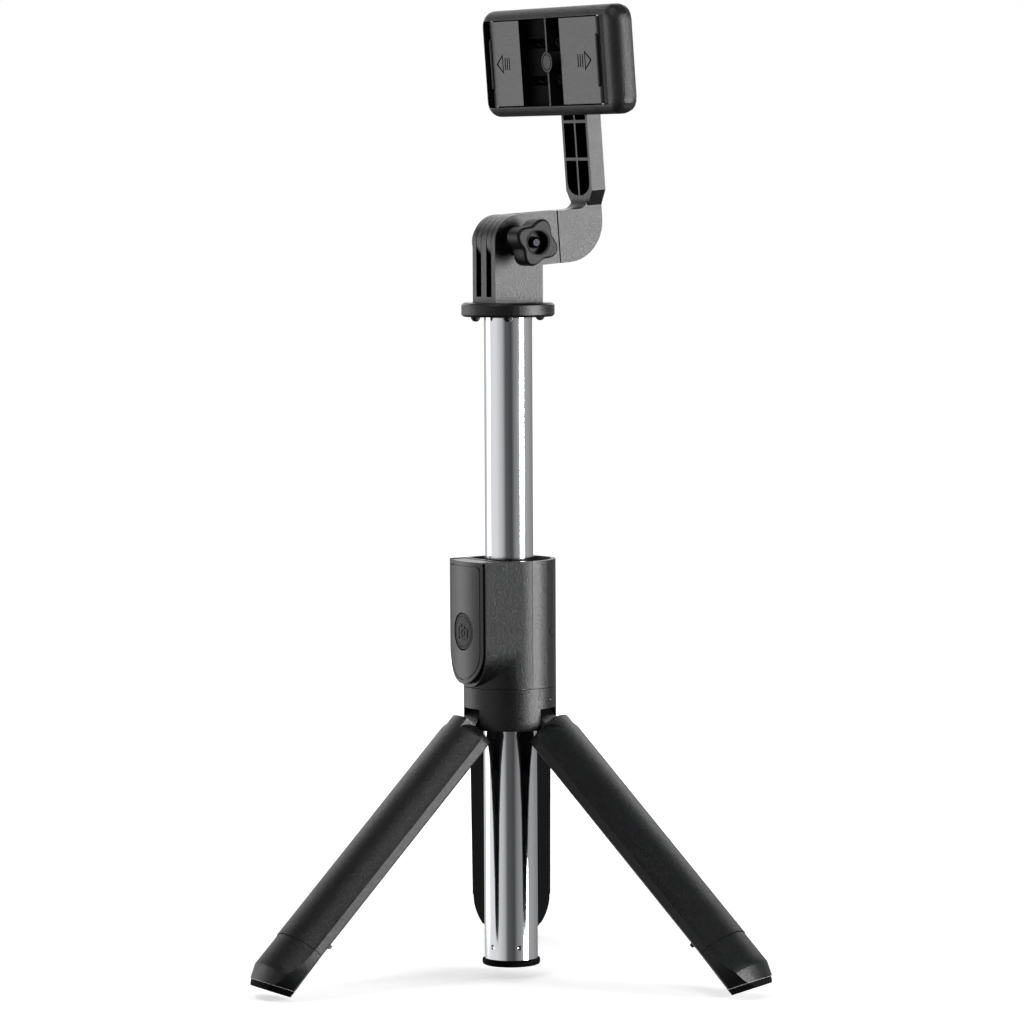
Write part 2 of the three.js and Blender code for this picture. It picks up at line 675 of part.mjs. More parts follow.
/** The knob's four-lobed outline, as [y, z] points. */
function lobes(steps) {
  const points = [];
  for (let i = 0; i < steps; i++) {
    const angle = (2 * Math.PI * i) / steps;
    const wave = 0.5 + 0.5 * Math.cos(4 * (angle - radians(68)));
    const r = 5.9 + 2.15 * wave ** 0.85;
    points.push([r * Math.cos(angle), pivotZ + r * Math.sin(angle)]);
  }
  return outline(points);
}

addPlastic('tilt_knob', cut(
  union(
    prism('x', lobes(48), KNOB.back, KNOB.front, 0.8),
    rod('x', KNOB.neckR, forkX + 0.65, KNOB.back + 0.6, 0, pivotZ, 36),
  ),
  rod('x', KNOB.recessR, KNOB.front - 3, KNOB.front + 2, 0, pivotZ, 36),
  rod('x', PIVOT_BOLT_R + BORE_GAP, forkX - 1, KNOB.front + 2, 0, pivotZ, 32),
));

// ---- bracket, in its own frame about the pivot, then tilted ----------------------------------

const tilted = new THREE.Matrix4()
  .makeTranslation(0, 0, pivotZ)
  .multiply(new THREE.Matrix4().makeRotationX(radians(BRACKET.tilt)));

const { armFront, armBack, armHalfWidth, filletR, cornerR } = BRACKET;
const lowAngle = THREE.MathUtils.radToDeg(Math.asin(BRACKET.bottom / forkR));
const plate = prism('x', outline([
  ...arc(0, 0, forkR, 90, 360 + lowAngle, 24),
  ...arc(armBack - cornerR, BRACKET.bottom + cornerR, cornerR, -90, 0, 10),
  [armBack, BRACKET.top + 7.1],
  [armFront, BRACKET.top + 7.1],
  ...arc(armFront - filletR, BRACKET.top + filletR, filletR, 0, -90, 5),
]), -BRACKET.halfWidth, BRACKET.halfWidth);
const arm = prism('y', outline([
  [BRACKET.halfWidth, BRACKET.flareLow],
  [armHalfWidth, BRACKET.flareHigh],
  ...arc(0, CLAMP.z, armHalfWidth, 0, 180, 16),
  [-armHalfWidth, BRACKET.flareHigh],
  [-BRACKET.halfWidth, BRACKET.flareLow],
]), armFront, armBack);
const pocketHalf = armHalfWidth - 1.2;
const pocketLow = BRACKET.flareHigh - 1.7;
const pocketHigh = CLAMP.z - 7;
let pocket = prism('y', outline([
  ...arc(0, 0, 1, 180, 360, 8).map(([x, z]) => [x * pocketHalf, pocketLow + 4.2 * (1 + z)]),
  [pocketHalf, pocketHigh],
  [-pocketHalf, pocketHigh],
]), armFront - 1, armFront + 3.3);
pocket = cut(pocket, block([-0.5, 0.5], [0, armBack + 6], [0, CLAMP.z]));
for (const share of [0.321, 0.65]) {
  const z = pocketLow + share * (pocketHigh - pocketLow);
  pocket = cut(pocket, block([-10, 10], [0, armBack + 6], [z - 0.5, z + 0.5]));
}
const { tongueInner, tongueOuter, tongueEnd } = BRACKET;
addPlastic('bracket', cut(
  union(plate, arm),
  pocket,
  block([-tongueInner, tongueInner], [-20, tongueEnd], [-20, 20]),
  block([tongueOuter, 20], [-20, tongueEnd], [-20, 20]),
  block([-20, -tongueOuter], [-20, tongueEnd], [-20, 20]),
  rod('x', PIVOT_BOLT_R + BORE_GAP, -10, 10, 0, 0, 32),
  rod('y', SCREW_R + BORE_GAP, armFront - 8, armBack + 6, 0, CLAMP.z, 24),
), tilted);

// ---- phone clamp -----------------------------------------------------------------------------

const clampBlock = prism(
  'y', roundedRectangle(CLAMP.halfLength, CLAMP.halfHeight, CLAMP.cornerR, CLAMP.z),
  CLAMP.front, CLAMP.back, CLAMP.edgeR,
);
const zBand = (half) => [CLAMP.z - half, CLAMP.z + half];
const swivelBore = rod('y', SCREW_R + BORE_GAP, CLAMP.floorFront - 2.9, CLAMP.back + 12, 0, CLAMP.z, 24);
const rodZ = [CLAMP.z - 10, CLAMP.z + 10];
const springZ = [CLAMP.z - 6.2, CLAMP.z + 6.2];
const rodY = CLAMP.floorFront + 1.35;
const rodR = 0.8;
const rodHoles = (a, b) => union(...rodZ.map((z) => rod('x', rodR + BORE_GAP, a, b, rodY, z, 16)));
const springPockets = (a, b) => union(...springZ.map((z) => block(
  [a, b], [CLAMP.floorFront - 1, CLAMP.floorBack - 0.3], [z - 1.6, z + 1.6],
)));
const pinBore = (x) => rod('z', JAW.pinR + 0.04, ...zBand(CLAMP.halfHeight - 1.8), x, JAW.pinY, 20);

const floorX = [CLAMP.recessLeft, 5.5];
const clampFloor = union(
  block(floorX, [CLAMP.floorFront, CLAMP.floorBack + 0.2], zBand(CLAMP.recessHalfHeight)),
  rod('y', 3.4, CLAMP.front + 0.1, CLAMP.floorFront + 1, 0, CLAMP.z, 32),
  block([-0.5, 0.5], [CLAMP.front + 0.4, CLAMP.floorFront + 1], zBand(CLAMP.recessHalfHeight)),
);
const coverX = [CLAMP.recessLeft + 4, CLAMP.seamX - 2.85];
addPlastic('clamp_body', cut(
  union(
    cut(
      clampBlock.intersect(block([-2 * CLAMP.halfLength, CLAMP.seamX - 0.08], [0, 40], zBand(40))),
      block([CLAMP.recessLeft, 2 * CLAMP.halfLength], [0, CLAMP.floorBack], zBand(CLAMP.recessHalfHeight)),
    ),
    clampFloor,
  ),
  block(coverX, [CLAMP.floorBack + 0.2, CLAMP.back + 12], zBand(12)),
  rodHoles(-34, 10),
  springPockets(-30, 8),
  pinBore(JAW_LEFT.pinX),
  swivelBore,
), tilted);
addPlastic('clamp_cover', cut(
  block(
    [coverX[0] + 0.1, coverX[1] - 0.1], [CLAMP.floorBack + 0.25, CLAMP.back - 0.02], zBand(11.9),
  ),
  swivelBore,
), tilted);

const rampX = JAW_RIGHT.pinX + 1.9;
const ramp = prism('z', outline([
  [rampX, CLAMP.floorFront + 0.5],
  [rampX, CLAMP.front + 2.1],
  [CLAMP.recessRight + 0.5, CLAMP.floorFront - 0.5],
  [CLAMP.recessRight + 0.5, CLAMP.floorFront + 0.5],
]), ...zBand(CLAMP.recessHalfHeight + 0.2));
addPlastic('clamp_slide', cut(
  union(
    cut(
      clampBlock.intersect(block([CLAMP.seamX + 0.08, 2 * CLAMP.halfLength], [0, 40], zBand(40))),
      block([0, CLAMP.recessRight], [0, CLAMP.floorFront], zBand(CLAMP.recessHalfHeight)),
    ),
    block(
      [JAW_RIGHT.freeX, rampX + 1.9], [CLAMP.floorFront, CLAMP.floorBack - 0.15],
      zBand(CLAMP.recessHalfHeight - 0.3),
    ),
    ramp,
  ),
  rodHoles(0, CLAMP.recessRight + 1),
  springPockets(0, 27.5),
  pinBore(JAW_RIGHT.pinX),
), tilted);

/** One flip-out jaw: a flat panel with a knuckle at its pin, and a window that shows the pin. */
function jaw({ pinX, freeX }) {
  const low = Math.min(pinX, freeX);
  const high = Math.max(pinX, freeX);
  return cut(
    union(
      block([low, high], [JAW.front, JAW.back], zBand(JAW.halfHeight)),
      rod('z', JAW.knuckleR, ...zBand(JAW.halfHeight), pinX, JAW.pinY, 24),
    ),
    rod('z', JAW.pinR + BORE_GAP, ...zBand(JAW.halfHeight + 1), pinX, JAW.pinY, 20),
    block([pinX - 0.65, pinX + 0.65], [JAW.front - 1, JAW.pinY], zBand(8.3)),
  );
}

addPlastic('jaw_left', jaw(JAW_LEFT), tilted);
addPlastic('jaw_right', jaw(JAW_RIGHT), tilted);
const jawPin = (x) => rod('z', JAW.pinR, ...zBand(CLAMP.halfHeight - 1.9), x, JAW.pinY, 20);
addSteel('jaw_pin_left', jawPin(JAW_LEFT.pinX), tilted);
addSteel('jaw_pin_right', jawPin(JAW_RIGHT.pinX), tilted);

/** A coil of round wire along X, pushed along a helix. */
function coil(a, b, r, wireR, turns, y, z) {
  const points = [];
  const perTurn = 6;
  for (let i = 0; i <= turns * perTurn; i++) {
    const angle = (2 * Math.PI * i) / perTurn;
    const x = a + ((b - a) * i) / (turns * perTurn);
    points.push(new THREE.Vector3(x, y + r * Math.cos(angle), z + r * Math.sin(angle)));
  }
  const section = outline(arc(0, 0, wireR, 0, 360, 5).slice(0, -1));
  return solid(new THREE.ExtrudeGeometry(section, {
    steps: turns * perTurn,
    extrudePath: new THREE.CatmullRomCurve3(points),
  }));
}

for (const [i, level] of ['lower', 'upper'].entries()) {
  addSteel(`guide_rod_${level}`, rod('x', rodR, -12, CLAMP.recessRight + 0.9, rodY, rodZ[i], 16), tilted);
  addSteel(`return_spring_${level}`, coil(-28.5, 26, 0.95, 0.25, 9, rodY - 0.1, springZ[i]), tilted);
}

addSteel('swivel_screw', union(
  rod('y', SCREW_R, CLAMP.floorFront - 2.7, armBack + 1, 0, CLAMP.z, 24),
  rod('y', 3.2, armBack + 0.05, armBack + 1.2, 0, CLAMP.z, 32),
  rod('y', 3.2, armBack + 1.2, armBack + 1.9, 0, CLAMP.z, 32, 2.2),
), tilted);
addSteel('swivel_washer', cut(
  rod('y', 4.4, CLAMP.back + 0.05, armFront - 0.05, 0, CLAMP.z, 32),
  rod('y', SCREW_R + BORE_GAP, CLAMP.back - 8, armBack + 6, 0, CLAMP.z, 24),
), tilted);

export default part;
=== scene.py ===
"""A tripod selfie stick: telescopic tubes, three legs, a handle with a remote control, and a phone clamp."""
import json
import logging
import math
from collections.abc import Callable
from dataclasses import dataclass, field
from enum import Enum

import bmesh
import bpy
from mathutils import Matrix, Vector

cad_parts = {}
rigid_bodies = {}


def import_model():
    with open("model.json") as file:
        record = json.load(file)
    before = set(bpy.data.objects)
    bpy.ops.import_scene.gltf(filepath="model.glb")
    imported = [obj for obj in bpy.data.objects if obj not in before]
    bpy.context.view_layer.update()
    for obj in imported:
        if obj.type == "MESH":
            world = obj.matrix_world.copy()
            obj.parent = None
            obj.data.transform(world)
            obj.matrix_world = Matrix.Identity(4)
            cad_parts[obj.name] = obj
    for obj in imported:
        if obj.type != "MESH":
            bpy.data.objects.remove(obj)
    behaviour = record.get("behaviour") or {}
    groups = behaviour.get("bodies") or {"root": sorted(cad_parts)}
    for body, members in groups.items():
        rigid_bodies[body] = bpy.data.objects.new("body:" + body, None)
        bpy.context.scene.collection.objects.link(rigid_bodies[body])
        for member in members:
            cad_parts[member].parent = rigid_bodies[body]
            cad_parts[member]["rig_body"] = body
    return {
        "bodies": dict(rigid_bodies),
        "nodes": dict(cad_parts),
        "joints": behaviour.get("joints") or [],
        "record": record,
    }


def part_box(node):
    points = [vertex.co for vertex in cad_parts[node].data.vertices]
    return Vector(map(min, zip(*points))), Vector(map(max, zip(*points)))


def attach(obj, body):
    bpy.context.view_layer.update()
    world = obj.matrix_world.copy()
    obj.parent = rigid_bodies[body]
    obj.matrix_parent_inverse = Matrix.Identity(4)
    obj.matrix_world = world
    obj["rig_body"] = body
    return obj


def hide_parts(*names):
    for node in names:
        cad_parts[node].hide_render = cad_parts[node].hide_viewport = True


MM = 0.001
LOG = logging.getLogger("selfie_stick")
FRAME: dict = {}

Point = tuple[float, float]
Span = tuple[float, float]


class Axis(Enum):
    """The axis that an outline is pushed along, as the matrix that takes (u, v, w) to (x, y, z)."""

    X = Matrix(((0, 0, 1), (1, 0, 0), (0, 1, 0))).to_4x4()
    Y = Matrix(((1, 0, 0), (0, 0, 1), (0, 1, 0))).to_4x4()
    Z = Matrix.Identity(4)


def linear(hex_colour: str) -> tuple[float, float, float, float]:
    """Turn an sRGB hex colour into the linear values that a shader takes.

    Args:
        hex_colour: six hex digits, such as "1b1c1e".

    Returns:
        Linear red, green, blue and an alpha of 1.
    """
    channels = [int(hex_colour[i:i + 2], 16) / 255 for i in (0, 2, 4)]
    values = [c / 12.92 if c <= 0.04045 else ((c + 0.055) / 1.055) ** 2.4 for c in channels]
    return values[0], values[1], values[2], 1.0


def arc(cx: float, cy: float, r: float, start: float, end: float, steps: int) -> list[Point]:
    """Points along an arc.

    Args:
        cx, cy: the arc's centre.
        r: its radius.
        start, end: its first and last angles, in degrees.
        steps: how many straight pieces stand for it.

    Returns:
        steps + 1 points.
    """
    angles = [math.radians(start + (end - start) * i / steps) for i in range(steps + 1)]
    return [(cx + r * math.cos(a), cy + r * math.sin(a)) for a in angles]


# ---- solids -----------------------------------------------------------------------------------


class Solid:
    """A closed solid in millimetres, shaped by bmesh operators and joined by booleans."""

    def __init__(self, bm: bmesh.types.BMesh) -> None:
        """Take over a bmesh and turn its faces outwards."""
        bmesh.ops.remove_doubles(bm, verts=bm.verts, dist=1e-4)
        bmesh.ops.recalc_face_normals(bm, faces=bm.faces)
        self.bm = bm

    @classmethod
    def box(cls, x: Span, y: Span, z: Span) -> "Solid":
        """A box between two limits on each axis."""
        bm = bmesh.new()
        bmesh.ops.create_cube(bm, size=1.0)
        size = Vector((x[1] - x[0], y[1] - y[0], z[1] - z[0]))
        middle = Vector((x[0] + x[1], y[0] + y[1], z[0] + z[1])) / 2
        bmesh.ops.scale(bm, vec=size, verts=bm.verts)
        bmesh.ops.translate(bm, vec=middle, verts=bm.verts)
        return cls(bm)

    @classmethod
    def prism(cls, axis: Axis, outline: list[Point], start: float, end: float) -> "Solid":
        """An outline pushed along an axis.

        Args:
            axis: the direction of the push.
            outline: the corners, in the two other axes in order.
            start, end: where the push begins and ends.

        Returns:
            The closed prism.
        """
        bm = bmesh.new()
        face = bm.faces.new([bm.verts.new((u, v, start)) for u, v in outline])
        pushed = bmesh.ops.extrude_face_region(bm, geom=[face])["geom"]
        moving = [g for g in pushed if isinstance(g, bmesh.types.BMVert)]
        bmesh.ops.translate(bm, vec=(0, 0, end - start), verts=moving)
        bmesh.ops.transform(bm, matrix=axis.value, verts=bm.verts)
        return cls(bm)

    @classmethod
    def rod(cls, axis: Axis, r: float, start: float, end: float, at: Point = (0, 0),
            segments: int = 48, r_end: float | None = None) -> "Solid":
        """A cylinder or cone along an axis.

        Args:
            axis: its direction.
            r: its radius at the start.
            start, end: where it begins and ends along the axis.
            at: its centre, in the two other axes in order.
            segments: how many flat sides it has.
            r_end: its radius at the end, where that differs.

        Returns:
            The closed cylinder or cone.
        """
        bm = bmesh.new()
        bmesh.ops.create_cone(bm, cap_ends=True, segments=segments, radius1=r,
                              radius2=r if r_end is None else r_end, depth=end - start)
        bmesh.ops.translate(bm, vec=(at[0], at[1], (start + end) / 2), verts=bm.verts)
        bmesh.ops.transform(bm, matrix=axis.value, verts=bm.verts)
        return cls(bm)

    @classmethod
    def ball(cls, r: float, at: tuple[float, float, float], segments: int = 24) -> "Solid":
        """A sphere."""
        bm = bmesh.new()
        bmesh.ops.create_uvsphere(bm, u_segments=segments, v_segments=segments // 2, radius=r)
        bmesh.ops.translate(bm, vec=at, verts=bm.verts)
        return cls(bm)

    @classmethod
    def turned(cls, profile: list[Point], segments: int = 96) -> "Solid":
        """A profile spun round the Z axis.

        Args:
            profile: (radius, z) points. A profile that starts and ends on the axis closes itself there.
            segments: how many steps the turn has.

        Returns:
            The closed body of revolution.
        """
        bm = bmesh.new()
        verts = [bm.verts.new((r, 0, z)) for r, z in profile]
        loop = list(zip(verts, verts[1:]))
        if profile[0][0] > 0:
            loop.append((verts[-1], verts[0]))
        edges = [bm.edges.new(pair) for pair in loop]
        bmesh.ops.spin(bm, geom=verts + edges, cent=(0, 0, 0), axis=(0, 0, 1), angle=2 * math.pi,
                       steps=segments, use_merge=True)
        bmesh.ops.dissolve_degenerate(bm, dist=1e-5, edges=bm.edges)
        return cls(bm)

    @classmethod
    def of_node(cls, node: str) -> "Solid":
        """The solid of a frame node, with its flat triangles joined into whole faces."""
        bm = bmesh.new()
        bm.from_mesh(FRAME["nodes"][node].data)
        bmesh.ops.scale(bm, vec=(1 / MM,) * 3, verts=bm.verts)
        bmesh.ops.remove_doubles(bm, verts=bm.verts, dist=1e-3)
        bmesh.ops.dissolve_limit(bm, angle_limit=math.radians(0.6), verts=bm.verts, edges=bm.edges)
        return cls(bm)

    def moved(self, matrix: Matrix) -> "Solid":
        """A copy of the solid, moved by a matrix."""
        bm = self.bm.copy()
        bmesh.ops.transform(bm, matrix=matrix, verts=bm.verts)
        return Solid(bm)

    def rounded(self, width: float, segments: int = 3, angle: float = 40.0) -> "Solid":
        """Round the edges that are sharper than an angle.

        Args:
            width: how far the rounding reaches along each face.
            segments: how many faces the rounding has.
            angle: the least angle between two faces that counts as an edge, in degrees.

        Returns:
            This solid.
        """
        limit = math.radians(angle)
        sharp = [e for e in self.bm.edges if len(e.link_faces) == 2 and e.calc_face_angle() > limit]
        bmesh.ops.bevel(self.bm, geom=sharp, offset=width, offset_type="OFFSET", segments=segments,
                        profile=0.5, affect="EDGES", material=-1, clamp_overlap=True)
        bmesh.ops.recalc_face_normals(self.bm, faces=self.bm.faces)
        return self

    def mesh(self, name: str, scale: float = 1.0) -> bpy.types.Mesh:
        """The solid as mesh data."""
        data = bpy.data.meshes.new(name)
        bm = self.bm.copy()
        bmesh.ops.scale(bm, vec=(scale,) * 3, verts=bm.verts)
        bm.to_mesh(data)
        bm.free()
        return data

    def _boolean(self, operation: str, others: tuple["Solid", ...]) -> "Solid":
        """Join this solid to others with Boolean modifiers.

        Args:
            operation: UNION, DIFFERENCE or INTERSECT.
            others: the solids, taken one after another and left as they are.

        Returns:
            The result as a new solid.
        """
        link = bpy.context.scene.collection.objects.link
        base = bpy.data.objects.new("bench", self.mesh("bench"))
        link(base)
        tools = []
        for other in others:
            tool = bpy.data.objects.new("tool", other.mesh("tool"))
            link(tool)
            tools.append(tool)
            modifier = base.modifiers.new("join", "BOOLEAN")
            modifier.operation = operation
            modifier.solver = "EXACT"
            modifier.object = tool
        result = bmesh.new()
        result.from_mesh(base.evaluated_get(bpy.context.evaluated_depsgraph_get()).to_mesh())
        for made in (base, *tools):
            data = made.data
            bpy.data.objects.remove(made)
            bpy.data.meshes.remove(data)
        return Solid(result)

    def plus(self, *others: "Solid") -> "Solid":
        """This solid and the others as one."""
        return self._boolean("UNION", others)

    def minus(self, *others: "Solid") -> "Solid":
        """This solid without the others."""
        return self._boolean("DIFFERENCE", others)

    def within(self, *others: "Solid") -> "Solid":
        """What this solid and all the others share."""
        return self._boolean("INTERSECT", others)


# ---- finishes ---------------------------------------------------------------------------------


def add_node(tree: bpy.types.NodeTree, kind: str, links: dict[str, bpy.types.NodeSocket] | None = None,
             **settings: object) -> bpy.types.Node:
    """Add a shader node with its settings and links.

    Args:
        tree: the node tree to add to.
        kind: the node's type, such as "ShaderNodeBump".
        links: input name to the output that feeds it.
        settings: input names, with _ for a space, or the node's own properties, with their values.

    Returns:
        The new node.
    """
    node = tree.nodes.new(kind)
    for key, value in settings.items():
        socket = node.inputs.get(key.replace("_", " "))
        if socket is not None:
            socket.default_value = value
        else:
            setattr(node, key, value)
    for key, output in (links or {}).items():
        tree.links.new(output, node.inputs[key])
    return node


@dataclass(frozen=True)
class Finish:
    """What every finish has: a name for the real material and how its surface was made."""

    name: str

    def material(self) -> bpy.types.Material:
        """The finish as a material, made once."""
        made = bpy.data.materials.get(self.name)
        if made is None:
            made = bpy.data.materials.new(self.name)
            made.use_nodes = True
            tree = made.node_tree
            tree.nodes.clear()
            place = add_node(tree, "ShaderNodeTexCoord").outputs["Object"]
            surface = self.surface(tree, place)
            add_node(tree, "ShaderNodeOutputMaterial", {"Surface": surface.outputs[0]})
        return made

    def surface(self, tree: bpy.types.NodeTree, place: bpy.types.NodeSocket) -> bpy.types.Node:
        """The shader of the finish, from its place on the piece."""
        raise NotImplementedError


@dataclass(frozen=True)
class Moulded(Finish):
    """Plastic or rubber from a mould. The grain left by the mould breaks up its sheen into fine specks."""

    colour: str
    dark: str
    roughness: float
    grain_mm: float
    depth: float
    ior: float = 1.5
    specular: float = 0.5

    def surface(self, tree: bpy.types.NodeTree, place: bpy.types.NodeSocket) -> bpy.types.Node:
        """Grain from fine noise in bump and roughness, over a slow drift of the colour."""
        grain = add_node(tree, "ShaderNodeTexNoise", {"Vector": place}, Scale=1 / (self.grain_mm * MM),
                         Detail=2.0, Roughness=0.6)
        drift = add_node(tree, "ShaderNodeTexNoise", {"Vector": place}, Scale=1 / (14 * MM), Detail=3.0)
        mixed = add_node(tree, "ShaderNodeMix", {"Factor": drift.outputs["Fac"]}, data_type="RGBA")
        mixed.inputs[6].default_value = linear(self.dark)
        mixed.inputs[7].default_value = linear(self.colour)
        rough = add_node(tree, "ShaderNodeMapRange", {"Value": grain.outputs["Fac"]}, From_Min=0.3,
                         From_Max=0.7, To_Min=self.roughness - 0.08, To_Max=self.roughness + 0.08)
        bump = add_node(tree, "ShaderNodeBump", {"Height": grain.outputs["Fac"]}, Strength=1.0,
                        Distance=self.depth * MM)
        return add_node(tree, "ShaderNodeBsdfPrincipled", {
            "Base Color": mixed.outputs[2],
            "Roughness": rough.outputs["Result"],
            "Normal": bump.outputs["Normal"],
        }, IOR=self.ior, Specular_IOR_Level=self.specular)


@dataclass(frozen=True)
class Drawn(Finish):
    """Metal that was drawn or turned, with hair-fine lines along one axis that stretch its highlights."""

    colour: str
    roughness: float
    line_mm: float
    stretch: tuple[float, float, float]
    depth: float

    def surface(self, tree: bpy.types.NodeTree, place: bpy.types.NodeSocket) -> bpy.types.Node:
        """Lines from noise stretched along the way the metal was drawn."""
        stretched = add_node(tree, "ShaderNodeMapping", {"Vector": place}, Scale=self.stretch)
        lines = add_node(tree, "ShaderNodeTexNoise", {"Vector": stretched.outputs[0]},
                         Scale=1 / (self.line_mm * MM), Detail=3.0, Roughness=0.55)
        rough = add_node(tree, "ShaderNodeMapRange", {"Value": lines.outputs["Fac"]}, From_Min=0.3,
                         From_Max=0.7, To_Min=max(self.roughness - 0.03, 0.02), To_Max=self.roughness + 0.05)
        bump = add_node(tree, "ShaderNodeBump", {"Height": lines.outputs["Fac"]}, Strength=self.depth,
                        Distance=0.02 * MM)
        return add_node(tree, "ShaderNodeBsdfPrincipled", {
            "Roughness": rough.outputs["Result"], "Normal": bump.outputs["Normal"],
        }, Base_Color=linear(self.colour), Metallic=1.0)


# ABS from a spark-eroded mould: black, with a fine grain whose tiny slopes turn the sheen into specks.
# The real grain is about 0.1 mm, drawn here at three times that so that it shows.
GRAINED_ABS = Moulded("abs_grained", "101113", "0a0b0c", 0.32, 0.32, 0.11)
# ABS from a smoother mould, for the parts that the hand touches: a softer, more even sheen.
SATIN_ABS = Moulded("abs_satin", "131416", "0f1011", 0.33, 0.3, 0.03)
# ABS with a coarse grain, for the sides of the legs and the clamp's frame: it scatters light, looks greyer.
COARSE_ABS = Moulded("abs_coarse", "1f2022", "131415", 0.42, 0.42, 0.17)
# ABS of the knob, tumbled dull: little sheen, so that its face stays dark.
KNOB_ABS = Moulded("abs_dull", "101112", "0c0d0e", 0.45, 0.3, 0.04, specular=0.22)
# ABS of the button: a matt, slightly darker face.
BUTTON_ABS = Moulded("abs_button", "0e0f10", "0b0c0d", 0.48, 0.3, 0.05, specular=0.35)
# Painted shade: near-black ABS with nearly no sheen for the floor and pockets of the clamp and the pocket of
# the bracket, standing for the shadow deep in those recesses.
SHADE_PAINTED_ABS = Moulded("abs_painted_shade", "060607", "040405", 0.7, 0.5, 0.05, specular=0.06)
# Thermoplastic rubber, moulded: almost black, with no sheen to speak of.
SOFT_RUBBER = Moulded("rubber_moulded", "070708", "050506", 0.75, 0.5, 0.1, specular=0.1)
# Nylon, moulded and unfilled: milky and soft.
WHITE_NYLON = Moulded("nylon_moulded", "e8e4d8", "dcd6c8", 0.5, 0.4, 0.03)
# Glass-fibre board under solder mask: green with a gloss.
BOARD_GREEN = Moulded("board_solder_mask", "1d5a3a", "174a30", 0.3, 0.6, 0.02)
# Steel, blackened in an oxide bath, for the tilt bolt: dark, with a faint gleam.
BLACK_STEEL = Drawn("steel_black_oxide", "1c1c1e", 0.3, 0.2, (1, 1, 1), 0.3)
# Stainless steel tube, drawn and polished: mirror-bright with faint lines along its length.
BRIGHT_TUBE = Drawn("stainless_polished", "e4e5e8", 0.09, 0.25, (1, 1, 0.01), 0.15)
# Steel, turned and plated: bright, with fine rings.
TURNED_STEEL = Drawn("steel_turned", "c4c6ca", 0.24, 0.2, (1, 1, 1), 0.3)
# Spring wire, drawn and blackened in oil: dark. Part of that darkness is painted shade, so that the springs
# stay hidden in their shaded channel.
SPRING_WIRE = Drawn("spring_wire", "26272a", 0.4, 0.15, (0.1, 1, 1), 0.3)


# ---- studio -----------------------------------------------------------------------------------


